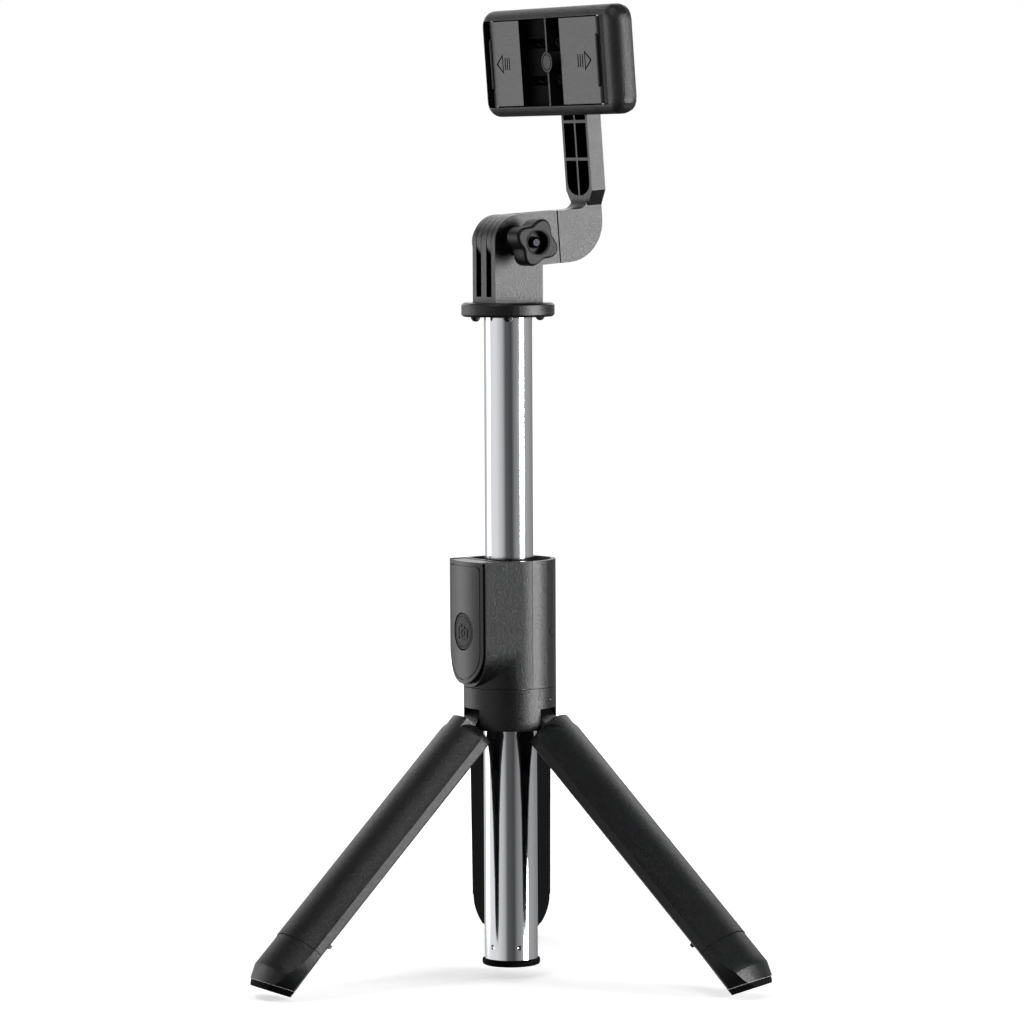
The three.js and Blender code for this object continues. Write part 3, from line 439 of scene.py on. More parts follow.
@dataclass
class Studio:
    """The camera, the floor and the lights, in metres and degrees.

    Attributes:
        walls: stops of (part of a turn from behind the camera's back, brightness) of the walls.
        heights: stops of (height from straight down to straight up, share of the walls' brightness).
    """

    azimuth: float = 60.13
    distance: float = 1.584
    height: float = 0.2619
    aim_z: float = 0.1511
    aim_shift: float = 0.001
    roll: float = -0.3
    lens: float = 168.2
    floor_z: float = -0.0038
    floor_glow: float = 0.6
    walls: tuple[tuple[float, float], ...] = (
        (0.0, 0.35), (0.08, 0.6), (0.2, 0.9), (0.33, 0.85), (0.42, 0.5), (0.46, 0.12),
        (0.54, 0.07), (0.58, 0.25), (0.64, 0.35), (0.78, 0.4), (0.92, 0.25), (1.0, 0.35))
    heights: tuple[tuple[float, float], ...] = (
        (0.0, 0.1), (0.28, 0.15), (0.4, 1.0), (0.56, 1.0), (0.66, 0.2), (1.0, 0.1))
    middle_z: float = 0.16

    def direction(self, azimuth: float, elevation: float) -> Vector:
        """The unit vector from the object towards a place round it, in degrees."""
        a, e = math.radians(azimuth), math.radians(elevation)
        return Vector((math.sin(a) * math.cos(e), -math.cos(a) * math.cos(e), math.sin(e)))

    def camera(self) -> None:
        """Set the camera at its place, looking a little down at the stick."""
        data = bpy.data.cameras.new("camera")
        data.lens = self.lens
        data.sensor_width = 36.0
        camera = bpy.data.objects.new("camera", data)
        bpy.context.scene.collection.objects.link(camera)
        across = Vector((math.cos(math.radians(self.azimuth)), math.sin(math.radians(self.azimuth)), 0))
        camera.location = self.direction(self.azimuth, 0) * self.distance + Vector((0, 0, self.height))
        aim = Vector((0, 0, self.aim_z)) + across * self.aim_shift
        look = (aim - camera.location).to_track_quat("-Z", "Y")
        camera.rotation_mode = "QUATERNION"
        camera.rotation_quaternion = look @ Matrix.Rotation(math.radians(self.roll), 4, "Z").to_quaternion()
        bpy.context.scene.camera = camera

    def lamp(self, name: str, turn: float, elevation: float, size: tuple[float, float], radiance: float,
             distance: float = 1.2) -> None:
        """Hang one soft box and point it at the middle of the stick.

        Args:
            name: what the lamp is called.
            turn: how far it hangs to the right of the camera, in degrees.
            elevation: how far above the horizon, in degrees.
            size: its width and height, in metres.
            radiance: how bright its face is, where white paper is 1.
            distance: how far from the stick, in metres.
        """
        data = bpy.data.lights.new(name, "AREA")
        data.shape = "RECTANGLE"
        data.size, data.size_y = size
        data.energy = radiance * math.pi * size[0] * size[1]
        lamp = bpy.data.objects.new(name, data)
        bpy.context.scene.collection.objects.link(lamp)
        middle = Vector((0, 0, self.middle_z))
        lamp.location = middle + self.direction(self.azimuth + turn, elevation) * distance
        lamp.rotation_mode = "QUATERNION"
        lamp.rotation_quaternion = (middle - lamp.location).to_track_quat("-Z", "Y")
        lamp.visible_camera = False

    def world(self) -> None:
        """Surround the stick with grey walls: dark at the camera, bright to its left, dim above and below."""
        world = bpy.data.worlds.new("studio")
        world.use_nodes = True
        tree = world.node_tree
        tree.nodes.clear()
        way = add_node(tree, "ShaderNodeTexCoord").outputs["Generated"]
        turned = add_node(tree, "ShaderNodeMapping", {"Vector": way}, vector_type="TEXTURE")
        turned.inputs["Rotation"].default_value = (0, 0, math.radians(self.azimuth - 90))
        parts = add_node(tree, "ShaderNodeSeparateXYZ", {"Vector": turned.outputs[0]})
        angle = add_node(tree, "ShaderNodeMath", operation="ARCTAN2")
        tree.links.new(parts.outputs["Y"], angle.inputs[0])
        tree.links.new(parts.outputs["X"], angle.inputs[1])
        part_turn = add_node(tree, "ShaderNodeMapRange", {"Value": angle.outputs[0]}, From_Min=-math.pi,
                             From_Max=math.pi)
        around = self.ramp(tree, part_turn.outputs[0], self.walls)
        height = add_node(tree, "ShaderNodeMapRange", {"Value": parts.outputs["Z"]}, From_Min=-1.0)
        band = self.ramp(tree, height.outputs[0], self.heights)
        strength = add_node(tree, "ShaderNodeMath", operation="MULTIPLY")
        tree.links.new(around, strength.inputs[0])
        tree.links.new(band, strength.inputs[1])
        plain = linear("ffffff")
        fill = add_node(tree, "ShaderNodeBackground", {"Strength": strength.outputs[0]}, Color=plain)
        white = add_node(tree, "ShaderNodeBackground", Color=plain, Strength=1.0)
        both = add_node(tree, "ShaderNodeMixShader",
                        {"Fac": add_node(tree, "ShaderNodeLightPath").outputs["Is Camera Ray"]})
        tree.links.new(fill.outputs[0], both.inputs[1])
        tree.links.new(white.outputs[0], both.inputs[2])
        add_node(tree, "ShaderNodeOutputWorld", {"Surface": both.outputs[0]})
        bpy.context.scene.world = world

    @staticmethod
    def ramp(tree: bpy.types.NodeTree, value: bpy.types.NodeSocket,
             stops: tuple[tuple[float, float], ...]) -> bpy.types.NodeSocket:
        """A ramp of grey from stops of (position, brightness)."""
        node = add_node(tree, "ShaderNodeValToRGB", {"Fac": value})
        elements = node.color_ramp.elements
        while len(elements) < len(stops):
            elements.new(0.5)
        for element, (position, grey) in zip(elements, stops):
            element.position = position
            element.color = (grey, grey, grey, 1)
        return node.outputs["Color"]

    def floor(self) -> None:
        """Lay a plain white floor that only the camera sees, so that the stick's underside stays dark."""
        bm = bmesh.new()
        bmesh.ops.create_grid(bm, x_segments=1, y_segments=1, size=6.0)
        bmesh.ops.translate(bm, vec=(0, 0, self.floor_z), verts=bm.verts)
        data = bpy.data.meshes.new("floor")
        bm.to_mesh(data)
        bm.free()
        floor = bpy.data.objects.new("floor", data)
        bpy.context.scene.collection.objects.link(floor)
        for ray in ("visible_diffuse", "visible_glossy", "visible_transmission", "visible_shadow"):
            setattr(floor, ray, False)
        paper = bpy.data.materials.new("floor_paper")
        paper.use_nodes = True
        tree = paper.node_tree
        shader = tree.nodes["Principled BSDF"]
        shader.inputs["Base Color"].default_value = linear("ffffff")
        shader.inputs["Roughness"].default_value = 1.0
        shader.inputs["Specular IOR Level"].default_value = 0.0
        place = add_node(tree, "ShaderNodeTexCoord").outputs["Object"]
        away = add_node(tree, "ShaderNodeVectorMath", {"Vector": place}, operation="LENGTH")
        glow = add_node(tree, "ShaderNodeMapRange", {"Value": away.outputs["Value"]}, From_Min=0.1,
                        From_Max=0.5, To_Min=self.floor_glow, To_Max=1.0, interpolation_type="SMOOTHSTEP")
        tree.links.new(glow.outputs[0], shader.inputs["Emission Strength"])
        shader.inputs["Emission Color"].default_value = linear("ffffff")
        data.materials.append(paper)

    def build(self) -> None:
        """Set up the whole studio."""
        bpy.context.scene.view_settings.view_transform = "Standard"
        self.camera()
        self.world()
        self.floor()
        self.lamp("strip_right", 67, -2, (0.42, 0.9), 20)
        self.lamp("panel_left", -118, -2, (0.6, 0.6), 1.6)
        self.lamp("top_left", -47, 62, (0.3, 0.3), 12)
        self.lamp("back", 178, 24, (1.5, 0.8), 1.6)


# ---- pieces -----------------------------------------------------------------------------------


@dataclass
class Piece:
    """How one solid becomes an object that stands for a frame node.

    Attributes:
        node: the frame node that it replaces, whose body it takes over.
        solid: its shape in the frame's place.
        finish: its material.
        edge: how wide the light-catching rounding of its edges is, in millimetres, or 0.
        sharp: the least angle of an edge that stays sharp or is rounded, in degrees.
        even: whether large flat faces keep their own shading next to small ones.
        recess: the finish of the faces that in_recess picks out: painted shade in the clamp's and the
            bracket's recesses, the coarse grain on the legs' sides.
        in_recess: says from a face's middle and normal, in the frame's millimetres, if it takes that finish.
    """

    node: str
    solid: Solid
    finish: Finish
    edge: float = 0.0
    sharp: float = 32.0
    even: bool = True
    recess: Finish | None = None
    in_recess: Callable[[Vector, Vector], bool] | None = None

    def build(self) -> bpy.types.Object:
        """Make the object and hand it over to the frame."""
        body = FRAME["nodes"][self.node]["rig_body"]
        name = f"{self.node}_made"
        data = self.solid.mesh(name, MM)
        data.shade_smooth()
        data.set_sharp_from_angle(angle=math.radians(self.sharp))
        data.materials.append(self.finish.material())
        if self.recess and self.in_recess:
            data.materials.append(self.recess.material())
            for face in data.polygons:
                face.material_index = int(self.in_recess(face.center / MM, face.normal))
        made = bpy.data.objects.new(name, data)
        bpy.context.scene.collection.objects.link(made)
        if self.edge:
            bevel = made.modifiers.new("edges", "BEVEL")
            bevel.width = self.edge * MM
            bevel.segments = 3
            bevel.limit_method = "ANGLE"
            bevel.angle_limit = math.radians(self.sharp)
        if self.edge or self.even:
            normals = made.modifiers.new("even_faces", "WEIGHTED_NORMAL")
            normals.keep_sharp = True
            normals.weight = 90
        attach(made, body)
        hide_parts(self.node)
        LOG.info("%s: %d faces, %s", name, len(data.polygons), self.finish.name)
        return made


def turn_about_x(degrees: float, y: float, z: float) -> Matrix:
    """A turn about the X direction through (y, z)."""
    there = Matrix.Translation((0, y, z))
    return there @ Matrix.Rotation(math.radians(degrees), 4, "X") @ there.inverted()


def about_z(degrees: float) -> Matrix:
    """A turn about the Z axis."""
    return Matrix.Rotation(math.radians(degrees), 4, "Z")


def ring(axis: Axis, outer: float, inner: float, start: float, end: float, at: Point = (0, 0),
         segments: int = 64) -> Solid:
    """A flat ring or a tube along an axis."""
    return Solid.rod(axis, outer, start, end, at, segments).minus(
        Solid.rod(axis, inner, start - 1, end + 1, at, segments))


@dataclass
class Telescope:
    """The six steel tubes, their bushes and the cap at the lower end."""

    radii: tuple[float, ...] = (8.9, 8.0, 7.15, 6.3, 5.45, 4.6)
    wall: float = 0.4
    groove_half: float = 2.1
    groove_depth: float = 0.55
    crimp_r: float = 1.5
    crimp_lift: float = 4.3
    crimp_turns: tuple[float, ...] = (16, 78, 196, 258)

    def grooved(self, r: float, half: float, depth: float) -> list[Point]:
        """A circle with a rounded groove that faces -Y."""
        reach = math.degrees(math.asin(half / r))
        side = ((0.88, 0.25), (0.78, 0.7), (0.6, 0.95), (0.3, 1.0))
        shape = side + tuple((-across, deep) for across, deep in side[::-1])
        edge = [(-half * across, -(r - depth * deep)) for across, deep in shape]
        return arc(0, 0, r, -90 + reach, 270 - reach, 110) + edge

    def pieces(self) -> list[Piece]:
        """Each tube with its crimps, and the cap."""
        made = []
        for number, r in enumerate(self.radii, start=1):
            low, high = (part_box(f"tube_{number}")[i][2] / MM for i in (0, 1))
            inner = r - self.wall
            if number == 1:
                tube = Solid.turned([(inner, low), (r - 0.1, low), (r, low + 0.1), (r, high - 0.1),
                                     (r - 0.1, high), (inner, high)], 128)
                out = r + 1.22
                lift = low + self.crimp_lift
                crimps = [Solid.ball(self.crimp_r, (math.sin(a) * out, -math.cos(a) * out, lift))
                          for a in map(math.radians, self.crimp_turns)]
                tube = tube.minus(*crimps)
            else:
                outside = Solid.prism(Axis.Z, self.grooved(r, self.groove_half, self.groove_depth), low, high)
                inside = Solid.prism(Axis.Z, self.grooved(inner, self.groove_half + 0.2, self.groove_depth),
                                     low - 1, high + 1)
                tube = outside.minus(inside)
            made.append(Piece(f"tube_{number}", tube, BRIGHT_TUBE))
        cap = Solid.turned([
            (0, 0), (6.2, 0), (6.4, 0.25), (6.8, 0.25), (7, 0), (9.05, 0), (9.45, 0.2), (9.65, 0.6),
            (9.65, 1.6), (9.5, 1.95), (9.2, 2.1), (8.45, 2.1), (8.45, 9), (0, 9)])
        made.append(Piece("tube_end_cap", cap, SOFT_RUBBER))
        for number in range(2, 7):
            bush = f"slide_bush_{number}"
            made.append(Piece(bush, Solid.of_node(bush), WHITE_NYLON, 0.1))
        return made


@dataclass
class Handle:
    """The hinge collar and the two halves of the handle."""

    radius: float = 15.4
    dimple_z: float = 89.4
    screw_x: float = 11.7
    screw_z: float = 112.0
    plug_r: float = 1.85
    screw_r: float = 1.65

    def rear(self) -> Solid:
        """The rear half, with a snapped-in plug over each screw."""
        rear = Solid.of_node("housing_rear")
        for sign in (-1, 1):
            at = (sign * self.screw_x, self.screw_z)
            outside = Solid.rod(Axis.Z, self.radius, 100, 120, segments=96)
            rear = rear.plus(Solid.rod(Axis.Y, self.plug_r, 7.7, 14, at, 40).within(outside))
            sunk = Solid.rod(Axis.Z, self.radius - 0.25, 99, 121)
            groove = ring(Axis.Y, self.plug_r, self.plug_r - 0.2, 6, 14, at, 40).minus(sunk)
            rear = rear.minus(groove)
        return rear

    def pieces(self) -> list[Piece]:
        """The collar with a dimple over one leg, and the halves with their screws."""
        collar = Solid.of_node("hinge_collar")
        dimple = Solid.ball(1.1, (0, -self.radius - 0.75, self.dimple_z), 20)
        collar = collar.minus(dimple.moved(about_z(120)))
        made = [
            Piece("hinge_collar", collar, GRAINED_ABS, 0.3),
            Piece("housing_front", Solid.of_node("housing_front"), GRAINED_ABS, 0.3),
            Piece("housing_rear", self.rear(), GRAINED_ABS, 0.3),
        ]
        for side, sign in (("left", -1), ("right", 1)):
            at = (sign * self.screw_x, self.screw_z)
            slot = Solid.box((-0.2, 0.2), (6.9, 9), (-1.1, 1.1))
            slot = slot.plus(Solid.box((-1.1, 1.1), (6.9, 9), (-0.2, 0.2)))
            head = Solid.rod(Axis.Y, self.screw_r, 6.25, 7.6, at, 40).rounded(0.3, 3)
            screw = head.plus(Solid.rod(Axis.Y, 1.0, -5.2, 6.6, at, 24))
            screw = screw.minus(slot.moved(Matrix.Translation((at[0], 0, at[1]))))
            made.append(Piece(f"housing_screw_{side}", screw, TURNED_STEEL))
        return made


@dataclass
class Remote:
    """The remote control that slides out of the handle."""

    half: float = 11.0
    arc_z: float = 105.9
    top: float = 135.5
    apex: float = -18.05
    face_r: float = 36.0
    split: float = -14.4
    wall: float = 1.3
    button_r: float = 6.0
    button_z: float = 112.2

    def outline(self, inset: float) -> list[Point]:
        """The U that it shows from the front, drawn in by an inset."""
        corner = 1.6
        top, half = self.top - inset, self.half - inset
        return (arc(half - corner, top - corner, corner, 0, 90, 8)
                + arc(corner - half, top - corner, corner, 90, 180, 8)
                + arc(0, self.arc_z, half, 180, 360, 48))

    def slab(self, inset: float, front: float, back: float) -> Solid:
        """The U pushed between two depths."""
        return Solid.prism(Axis.Y, self.outline(inset), front, back)

    def barrel(self, drop: float) -> Solid:
        """The upright barrel whose front is the bowed face, sunk by a drop."""
        r = self.face_r - drop
        return Solid.rod(Axis.Z, r, 90, 140, (0, self.apex + self.face_r), segments=220)

    def icon(self) -> Solid:
        """The cutter for a plain shutter sign: a box outline with a hump and a round lens."""
        z = self.button_z - 0.3
        outer = Solid.box((-3.0, 3.0), (-20, -15), (z - 2.2, z + 1.7)).plus(
            Solid.box((-1.3, 1.3), (-20, -15), (z + 1.5, z + 2.6)))
        inner = Solid.box((-2.5, 2.5), (-21, -14), (z - 1.7, z + 1.2)).plus(
            Solid.box((-0.8, 0.8), (-21, -14), (z + 1.0, z + 2.1)))
        lens = ring(Axis.Y, 1.3, 0.8, -20, -15, (0, z - 0.25), 40)
        return outer.minus(inner).plus(lens)

    def pieces(self) -> list[Piece]:
        """The shell's two halves, the button, the board and the cell."""
        face = self.slab(0, -20, self.split - 0.04).within(self.barrel(0)).rounded(0.55, 4, 50)
        groove = self.slab(1.25, -20, -14).minus(self.slab(1.6, -21, -13)).minus(self.barrel(0.4))
        hollow = self.slab(self.wall, -20, self.split + 1).within(self.barrel(1.2))
        hole = Solid.rod(Axis.Y, self.button_r + 0.3, -20, -13, (0, self.button_z), 96)
        face = face.minus(groove, hollow, hole)
        button = Solid.rod(Axis.Y, self.button_r, -20, -15.3, (0, self.button_z), 96)
        button = button.within(self.barrel(0.25))
        button = button.rounded(0.3, 3, 50).plus(
            Solid.rod(Axis.Y, self.button_r + 0.8, -16.05, -15.3, (0, self.button_z), 96))
        dish = ring(Axis.Y, 5.15, 4.95, -20, -15, (0, self.button_z), 96).minus(self.barrel(0.5))
        button = button.minus(dish, self.icon().minus(self.barrel(0.5)))
        return [
            Piece("remote_face", face, SATIN_ABS),
            Piece("remote_back", Solid.of_node("remote_back"), SATIN_ABS, 0.15),
            Piece("shutter_button", button, BUTTON_ABS),
            Piece("remote_board", Solid.of_node("remote_board"), BOARD_GREEN),
            Piece("coin_cell", Solid.of_node("coin_cell"), TURNED_STEEL, 0.3),
        ]


@dataclass
class Legs:
    """Three legs, each with a shell, a foot, a sole and a pin."""

    open_angle: float = 44.0
    pivot_r: float = 12.0
    pivot_z: float = 84.2
    skin_r: float = 20.1
    skin_y: float = 2.6
    half_width: float = 13.6
    flank: float = 59.3
    offset: float = 1.4
    wall: float = 1.7
    top: float = 79.2
    seam: float = -14.5
    toe_z: float = -34.9
    shoulder_z: float = -15.0
    facet_z: float = -26.6
    facet_depth: float = 3.0
    toe_power: float = 2.2
    crown: float = 5.0
    crown_corner: float = 7.0
    seam_gap: float = 0.12
    sole_top: float = -0.2
    azimuths: dict[str, float] = field(default_factory=lambda: {"front": 0.0, "right": 120.0, "back": 240.0})

    def pose(self, azimuth: float) -> Matrix:
        """From a leg folded at -Y to the same leg opened at its azimuth."""
        return about_z(azimuth) @ turn_about_x(-self.open_angle, -self.pivot_r, self.pivot_z)

    def skin(self, drop: float = 0.0, narrow: float = 0.0, steps: int = 44) -> list[Point]:
        """The bowed outside of the leg's cross-section.

        Args:
            drop: how far it is sunk all round.
            narrow: how much each side is drawn in besides.
            steps: how many straight pieces stand for the bow.

        Returns:
            The bow's points, from -X to +X.
        """
        r = self.skin_r - drop
        half = self.half_width - drop - narrow
        reach = math.degrees(math.asin(half / r))
        return arc(0, self.skin_y, r, -90 - reach, -90 + reach, steps)

    def flank_y(self, x: float) -> float:
        """Where the leg's flat flank stands at a distance from its middle plane."""
        return -self.offset - x / math.tan(math.radians(self.flank))

    def band(self, low: float, high: float) -> Solid:
        """The leg's outer wall between two heights: its bow and its upright sides."""
        outer, inner = self.half_width, self.half_width - self.wall
        right = [(outer, self.flank_y(outer)), (inner, self.flank_y(inner))]
        left = [(-x, y) for x, y in right[::-1]]
        points = self.skin() + right + self.skin(self.wall)[::-1] + left
        return Solid.prism(Axis.Z, points, low, high)

    def upper_limit(self) -> Solid:
        """What the shell keeps: rounded from side to side and crowned at its top, with room for the lug."""
        outline = self.skin() + [(self.half_width, 0), (-self.half_width, 0)]
        block = Solid.prism(Axis.Z, outline, self.seam, self.top)
        rim = [e for e in block.bm.edges
               if all(abs(v.co.z - self.top) < 0.01 and v.co.y < -3 for v in e.verts)]
        bmesh.ops.bevel(block.bm, geom=rim, offset=self.crown, offset_type="OFFSET", segments=9, profile=0.5,
                        affect="EDGES", material=-1, clamp_overlap=True)
        bmesh.ops.recalc_face_normals(block.bm, faces=block.bm.faces)
        corner = self.crown_corner
        side = self.half_width + 0.2
        front = (arc(side - corner, self.top - corner, corner, 0, 90, 12)
                 + arc(corner - side, self.top - corner, corner, 90, 180, 12)
                 + [(-side, self.seam - 2), (side, self.seam - 2)])
        lug = Solid.box((-4.7, 4.7), (-20, 0), (self.top - 9, self.top + 8))
        return block.within(Solid.prism(Axis.Y, front, -25, 5)).plus(lug)

    def foot_limit(self, shrink: float) -> Solid:
        """What the foot or the sole keeps: a toe that narrows in a curve, with a facet across its end.

        Args:
            shrink: how far it stands back from the foot's own outline.

        Returns:
            The solid to share with, in the folded leg.
        """
        heights = [5.0, self.shoulder_z]
        heights += [self.shoulder_z + (self.facet_z - self.shoulder_z) * i / 6 for i in range(1, 7)]
        heights += [self.facet_z + (self.toe_z - self.facet_z) * i / 12 for i in range(1, 13)]
        bm = bmesh.new()
        rows = []
        for z in heights:
            along = max(0.0, (self.shoulder_z - z) / (self.shoulder_z - self.toe_z + 0.25))
            narrow = self.half_width * (1 - (1 - along ** self.toe_power) ** (1 / self.toe_power))
            down = max(0.0, (self.facet_z - z) / (self.facet_z - self.toe_z))
            drop = shrink + self.facet_depth * down + 1.6 * max(0.0, down - 0.8) ** 2 * 25
            points = self.skin(drop, max(0.0, narrow - self.facet_depth * down), 28)
            points += [(points[-1][0], 0), (points[0][0], 0)]
            rows.append([bm.verts.new((x, y, z)) for x, y in points])
        for upper, lower in zip(rows, rows[1:]):
            for i in range(len(upper)):
                j = (i + 1) % len(upper)
                bm.faces.new((upper[i], upper[j], lower[j], lower[i]))
        bm.faces.new(rows[0])
        bm.faces.new(rows[-1])
        return Solid(bm)

    def in_side(self, azimuth: float) -> Callable[[Vector, Vector], bool]:
        """Whether a face is one of the leg's upright sides, for a leg opened at an azimuth."""
        back = self.pose(azimuth).inverted()
        turn = back.to_3x3()

        def test(middle: Vector, normal: Vector) -> bool:
            """True for a face that looks sideways from the leg's own middle plane."""
            return abs((turn @ normal).x) > 0.95 and abs((back @ middle).x) > self.half_width - 0.6

        return test

    def pieces(self) -> list[Piece]:
        """Every leg's pieces, cut in the folded leg and then opened."""
        folded = self.pose(0).inverted()
        whole = Solid.of_node("leg_shell_front").moved(folded).plus(self.band(self.seam, self.top))
        shell = whole.within(self.upper_limit())
        drawn = Solid.of_node("leg_foot_front").moved(folded)
        hook = drawn.within(Solid.box((-3, 3), (-9, 0), (-16, -5)))
        under = Solid.of_node("leg_sole_front").moved(folded)
        foot_top = self.seam - self.seam_gap
        wall = self.band(self.toe_z - 3, foot_top)
        floor = Solid.box((-30, 30), (-80, 20), (-60, self.sole_top)).moved(folded)
        foot = drawn.within(Solid.box((-30, 30), (-30, 0), (-60, foot_top))).plus(wall.minus(floor))
        foot = foot.within(self.foot_limit(0.25))
        sole = under.within(self.foot_limit(0.6))
        made = []
        for side, azimuth in self.azimuths.items():
            place = self.pose(azimuth)
            pin = Solid.rod(Axis.X, 1.0, -6.8, 6.8, (-self.pivot_r, self.pivot_z), 40).rounded(0.2, 2)
            strips = {"recess": COARSE_ABS, "in_recess": self.in_side(azimuth)}
            made += [
                Piece(f"leg_shell_{side}", shell.moved(place), GRAINED_ABS, 0.4, **strips),
                Piece(f"leg_foot_{side}", foot.plus(hook).moved(place), GRAINED_ABS, 0.35, **strips),
                Piece(f"leg_sole_{side}", sole.moved(place), SOFT_RUBBER, 0.9),
                Piece(f"leg_pin_{side}", pin.moved(about_z(azimuth)), TURNED_STEEL),
            ]
        return made


@dataclass
class Head:
    """The disc and fork on the top tube, with the bolt, washer and knob of the tilt."""

    pivot_z: float = 240.6
    disc_bottom: float = 216.0
    disc_top: float = 220.6
    disc_r: float = 15.45
    disc_soft: float = 1.2
    lobes: int = 4
    lobe_turn: float = 68.0

    def disc(self) -> Solid:
        """The disc, turned with a soft rim."""
        low, high, soft = self.disc_bottom, self.disc_top, self.disc_soft
        flat = self.disc_r - soft
        return Solid.turned([(0, low), (flat, low)] + arc(flat, low + soft, soft, -90, 0, 6)
                            + arc(flat, high - soft, soft, 0, 90, 6) + [(0, high)], 144)

    def knob(self) -> Solid:
        """The four-lobed knob with a round recess, a rim and a turned neck."""
        points = []
        for step in range(144):
            angle = 2 * math.pi * step / 144
            wave = 0.5 + 0.5 * math.cos(self.lobes * (angle - math.radians(self.lobe_turn)))
            r = 5.9 + 2.15 * wave ** 0.85
            points.append((r * math.cos(angle), self.pivot_z + r * math.sin(angle)))
        grip = Solid.prism(Axis.X, points, 12.4, 20.2).rounded(0.9, 4, 50)
        neck = Solid.rod(Axis.X, 4.9, 8.15, 13, (0, self.pivot_z), 72)
        at = (0, self.pivot_z)
        rim = ring(Axis.X, 4.5, 4.2, 19.95, 22, at, 72)
        recess = Solid.rod(Axis.X, 3.65, 17.2, 22, at, 72)
        lead = Solid.rod(Axis.X, 3.65, 19.8, 20.3, at, 72, 4.1)
        return grip.plus(neck).minus(recess.plus(lead), rim, Solid.rod(Axis.X, 2.08, 5, 22, at, 40))

    def pieces(self) -> list[Piece]:
        """The fork and what the bolt holds."""
        at = (0, self.pivot_z)
        fork = Solid.of_node("head_fork").plus(self.disc())
        bolt = Solid.rod(Axis.X, 4.05, -11, -8.4, at, 6).rounded(0.25, 2).plus(
            Solid.rod(Axis.X, 2.0, -9, 18.2, at, 48), Solid.rod(Axis.X, 2.0, 18.2, 19.0, at, 48, 1.2))
        threads = [ring(Axis.X, 2.3, 1.8, x, x + 0.18, at, 48) for x in (17.4, 17.75, 18.1)]
        return [
            Piece("head_fork", fork, GRAINED_ABS, 0.3),
            Piece("pivot_bolt", bolt.minus(*threads), BLACK_STEEL),
            Piece("knob_washer", Solid.of_node("knob_washer"), TURNED_STEEL, 0.1),
            Piece("tilt_knob", self.knob(), KNOB_ABS),
        ]


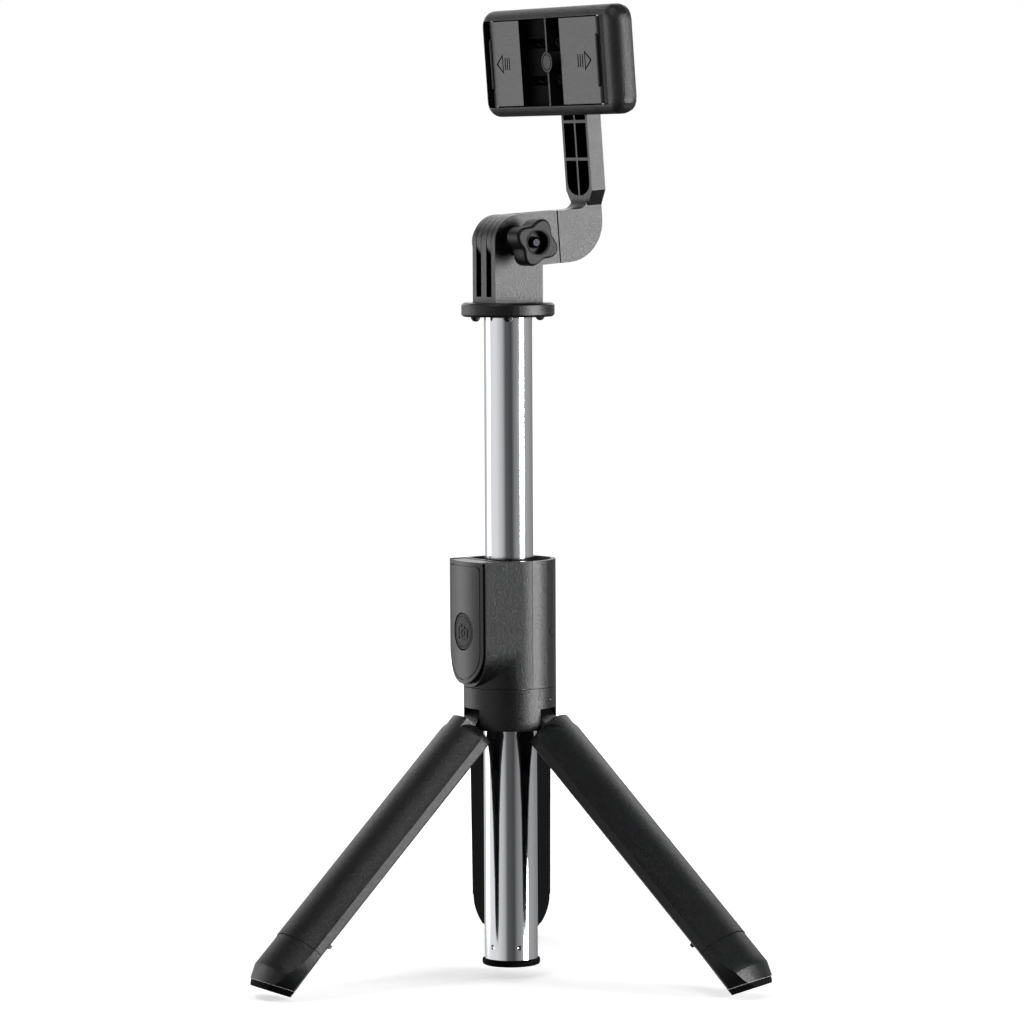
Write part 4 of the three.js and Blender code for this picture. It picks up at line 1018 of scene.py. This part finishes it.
@dataclass
class Clamp:
    """The bracket and the phone clamp, drawn upright about the pivot and then tilted."""

    tilt: float = 4.2
    pivot_z: float = 240.6
    z: float = 58.0
    jaw_front: float = 21.3
    pin_y: float = 22.7
    floor_front: float = 24.0
    half_length: float = 43.9
    half_height: float = 17.9
    front: float = 19.5
    back: float = 28.1
    corner: float = 5.5
    front_soft: float = 3.9
    back_soft: float = 2.6
    pin_left: float = -39.4
    pin_right: float = 30.2
    bead_r: float = 0.9
    bead_half: float = 8.0

    def placed(self, solid: Solid) -> Solid:
        """A solid drawn upright, moved to where the clamp stands."""
        up = Matrix.Translation((0, 0, self.pivot_z))
        return solid.moved(up @ Matrix.Rotation(math.radians(self.tilt), 4, "X"))

    def upright(self, point: Vector) -> Vector:
        """A point of the frame as it was before the tilt, about the pivot."""
        return Matrix.Rotation(-math.radians(self.tilt), 3, "X") @ (point - Vector((0, 0, self.pivot_z)))

    def deep(self, middle: Vector, normal: Vector) -> bool:
        """Whether a face of the clamp lies on the floor between the jaws, or in its pockets: the faces that
        get painted shade.
        """
        at = self.upright(middle)
        return -20.6 < at.x < 29.0 and abs(at.z - self.z) < 14.5 and at.y > self.floor_front and at.y < 27.5

    def in_shaded_pocket(self, middle: Vector, normal: Vector) -> bool:
        """Whether a face of the bracket lies inside the pocket of its arm: the faces that get painted shade.
        """
        at = self.upright(middle)
        return abs(at.x) < 7.1 and 12.5 < at.z < 51.2 and 29.6 < at.y < 32.3

    def shell(self) -> Solid:
        """The clamp's outer form: a long box with round corners and a full, soft front edge."""
        corner = self.corner
        x, z = self.half_length - corner, self.half_height - corner
        outline = (arc(x, self.z + z, corner, 0, 90, 10) + arc(-x, self.z + z, corner, 90, 180, 10)
                   + arc(-x, self.z - z, corner, 180, 270, 10) + arc(x, self.z - z, corner, 270, 360, 10))
        block = Solid.prism(Axis.Y, outline, self.front, self.back)
        for depth, width in ((self.front, self.front_soft), (self.back, self.back_soft)):
            rim = [e for e in block.bm.edges if all(abs(v.co.y - depth) < 0.01 for v in e.verts)]
            bmesh.ops.bevel(block.bm, geom=rim, offset=width, offset_type="OFFSET", segments=7, profile=0.5,
                            affect="EDGES", material=-1, clamp_overlap=True)
        bmesh.ops.recalc_face_normals(block.bm, faces=block.bm.faces)
        return self.placed(block)

    def ridge(self, x: float) -> Solid:
        """The raised bead over a jaw's pin, with round ends."""
        r, half, y = self.bead_r, self.bead_half, self.jaw_front + 0.35
        bead = Solid.rod(Axis.Z, r, self.z - half, self.z + half, (x, y), 24)
        ends = [Solid.ball(r, (x, y, self.z + end)) for end in (-half, half)]
        root = Solid.box((x - 0.7, x + 0.7), (self.jaw_front, self.jaw_front + 0.9),
                         (self.z - half - 0.5, self.z + half + 0.5))
        return self.placed(bead.plus(*ends, root))

    def swing_room(self, x: float) -> Solid:
        """The hollow beside a jaw's pin that its bead turns through as the jaw swings out."""
        swept = Solid.rod(Axis.Z, 2.15, self.z - 9.3, self.z + 9.3, (x, self.pin_y))
        return self.placed(swept.within(Solid.box((x - 3, x + 3), (18, 23.9), (self.z - 10, self.z + 10))))

    def arrow(self, tip: float, way: int) -> Solid:
        """The cutter for an outlined arrow with three short bars behind it.

        Args:
            tip: the X of its point.
            way: 1 for an arrow to +X, -1 for one to -X.

        Returns:
            The cutter, upright.
        """
        z, front, back = self.z, self.jaw_front - 1, self.jaw_front + 0.35

        def head(grow: float) -> list[Point]:
            """The arrow head's outline, drawn in by an amount."""
            return [(tip - way * grow * 2.0, z), (tip - way * (4.6 - grow), z + 3.4 - grow * 1.9),
                    (tip - way * (4.6 - grow), z - 3.4 + grow * 1.9)]

        outer = Solid.prism(Axis.Y, head(0.0), front, back)
        inner = Solid.prism(Axis.Y, head(0.55), front - 1, back + 1)
        bars = [tip - way * behind for behind in (5.9, 7.3, 8.7)]
        stem = [Solid.box((x - 0.3, x + 0.3), (front, back), (z - 2.1, z + 2.1)) for x in bars]
        return outer.minus(inner).plus(*stem)

    def screw(self) -> Solid:
        """The swivel screw with a cross in its head."""
        at = (0, self.z)
        head = Solid.rod(Axis.Y, 3.2, 34.05, 35.9, at, 64).rounded(0.6, 4)
        cross = Solid.box((-0.35, 0.35), (35.0, 37), (self.z - 1.9, self.z + 1.9)).plus(
            Solid.box((-1.9, 1.9), (35.0, 37), (self.z - 0.35, self.z + 0.35)))
        return head.plus(Solid.rod(Axis.Y, 1.5, 21.5, 34.5, at, 40)).minus(cross)

    def pieces(self) -> list[Piece]:
        """The bracket, the clamp's frame, its sliding end and its jaws."""
        shell = self.shell()
        rim = self.placed(ring(Axis.Y, 2.8, 2.45, 19, 20.0, (0, self.z)))
        body = Solid.of_node("clamp_body").within(shell).minus(rim, self.swing_room(self.pin_left))
        slide = Solid.of_node("clamp_slide").within(shell).minus(self.swing_room(self.pin_right))
        left = Solid.of_node("jaw_left").plus(self.ridge(self.pin_left))
        left = left.minus(self.placed(self.arrow(-36.4, -1)))
        right = Solid.of_node("jaw_right").plus(self.ridge(self.pin_right))
        right = right.minus(self.placed(self.arrow(26.3, 1)))
        # Painted shade: the clamp's floor between the jaws and its pockets get a near-black finish that
        # stands for the shadow in them.
        dark = {"recess": SHADE_PAINTED_ABS, "in_recess": self.deep}
        made = [
            # Painted shade: the pocket of the bracket's arm gets the same near-black finish for the shadow in
            # it.
            Piece("bracket", Solid.of_node("bracket"), GRAINED_ABS, 0.3, recess=SHADE_PAINTED_ABS,
                  in_recess=self.in_shaded_pocket),
            Piece("clamp_body", body, COARSE_ABS, 0.2, **dark),
            Piece("clamp_slide", slide, COARSE_ABS, 0.2, **dark),
            Piece("clamp_cover", Solid.of_node("clamp_cover"), GRAINED_ABS, 0.15),
            Piece("jaw_left", left, SATIN_ABS, 0.12),
            Piece("jaw_right", right, SATIN_ABS, 0.12),
            Piece("swivel_screw", self.placed(self.screw()), TURNED_STEEL),
            Piece("swivel_washer", Solid.of_node("swivel_washer"), WHITE_NYLON, 0.1),
        ]
        for name in ("jaw_pin_left", "jaw_pin_right", "guide_rod_lower", "guide_rod_upper"):
            made.append(Piece(name, Solid.of_node(name), TURNED_STEEL, 0.1))
        return made


def dress_springs() -> None:
    """Give the frame's own springs their wire, as they stretch with the carriage."""
    for level in ("lower", "upper"):
        data = FRAME["nodes"][f"return_spring_{level}"].data
        data.materials.clear()
        data.materials.append(SPRING_WIRE.material())


def main() -> None:
    """Build every piece on the frame, then the studio."""
    logging.basicConfig(level=logging.INFO, format="%(message)s")
    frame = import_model()
    FRAME.update(frame)
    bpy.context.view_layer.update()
    for group in (Telescope(), Handle(), Remote(), Legs(), Head(), Clamp()):
        for piece in group.pieces():
            piece.build()
    dress_springs()
    Studio().build()


if __name__ == "__main__":
    main()
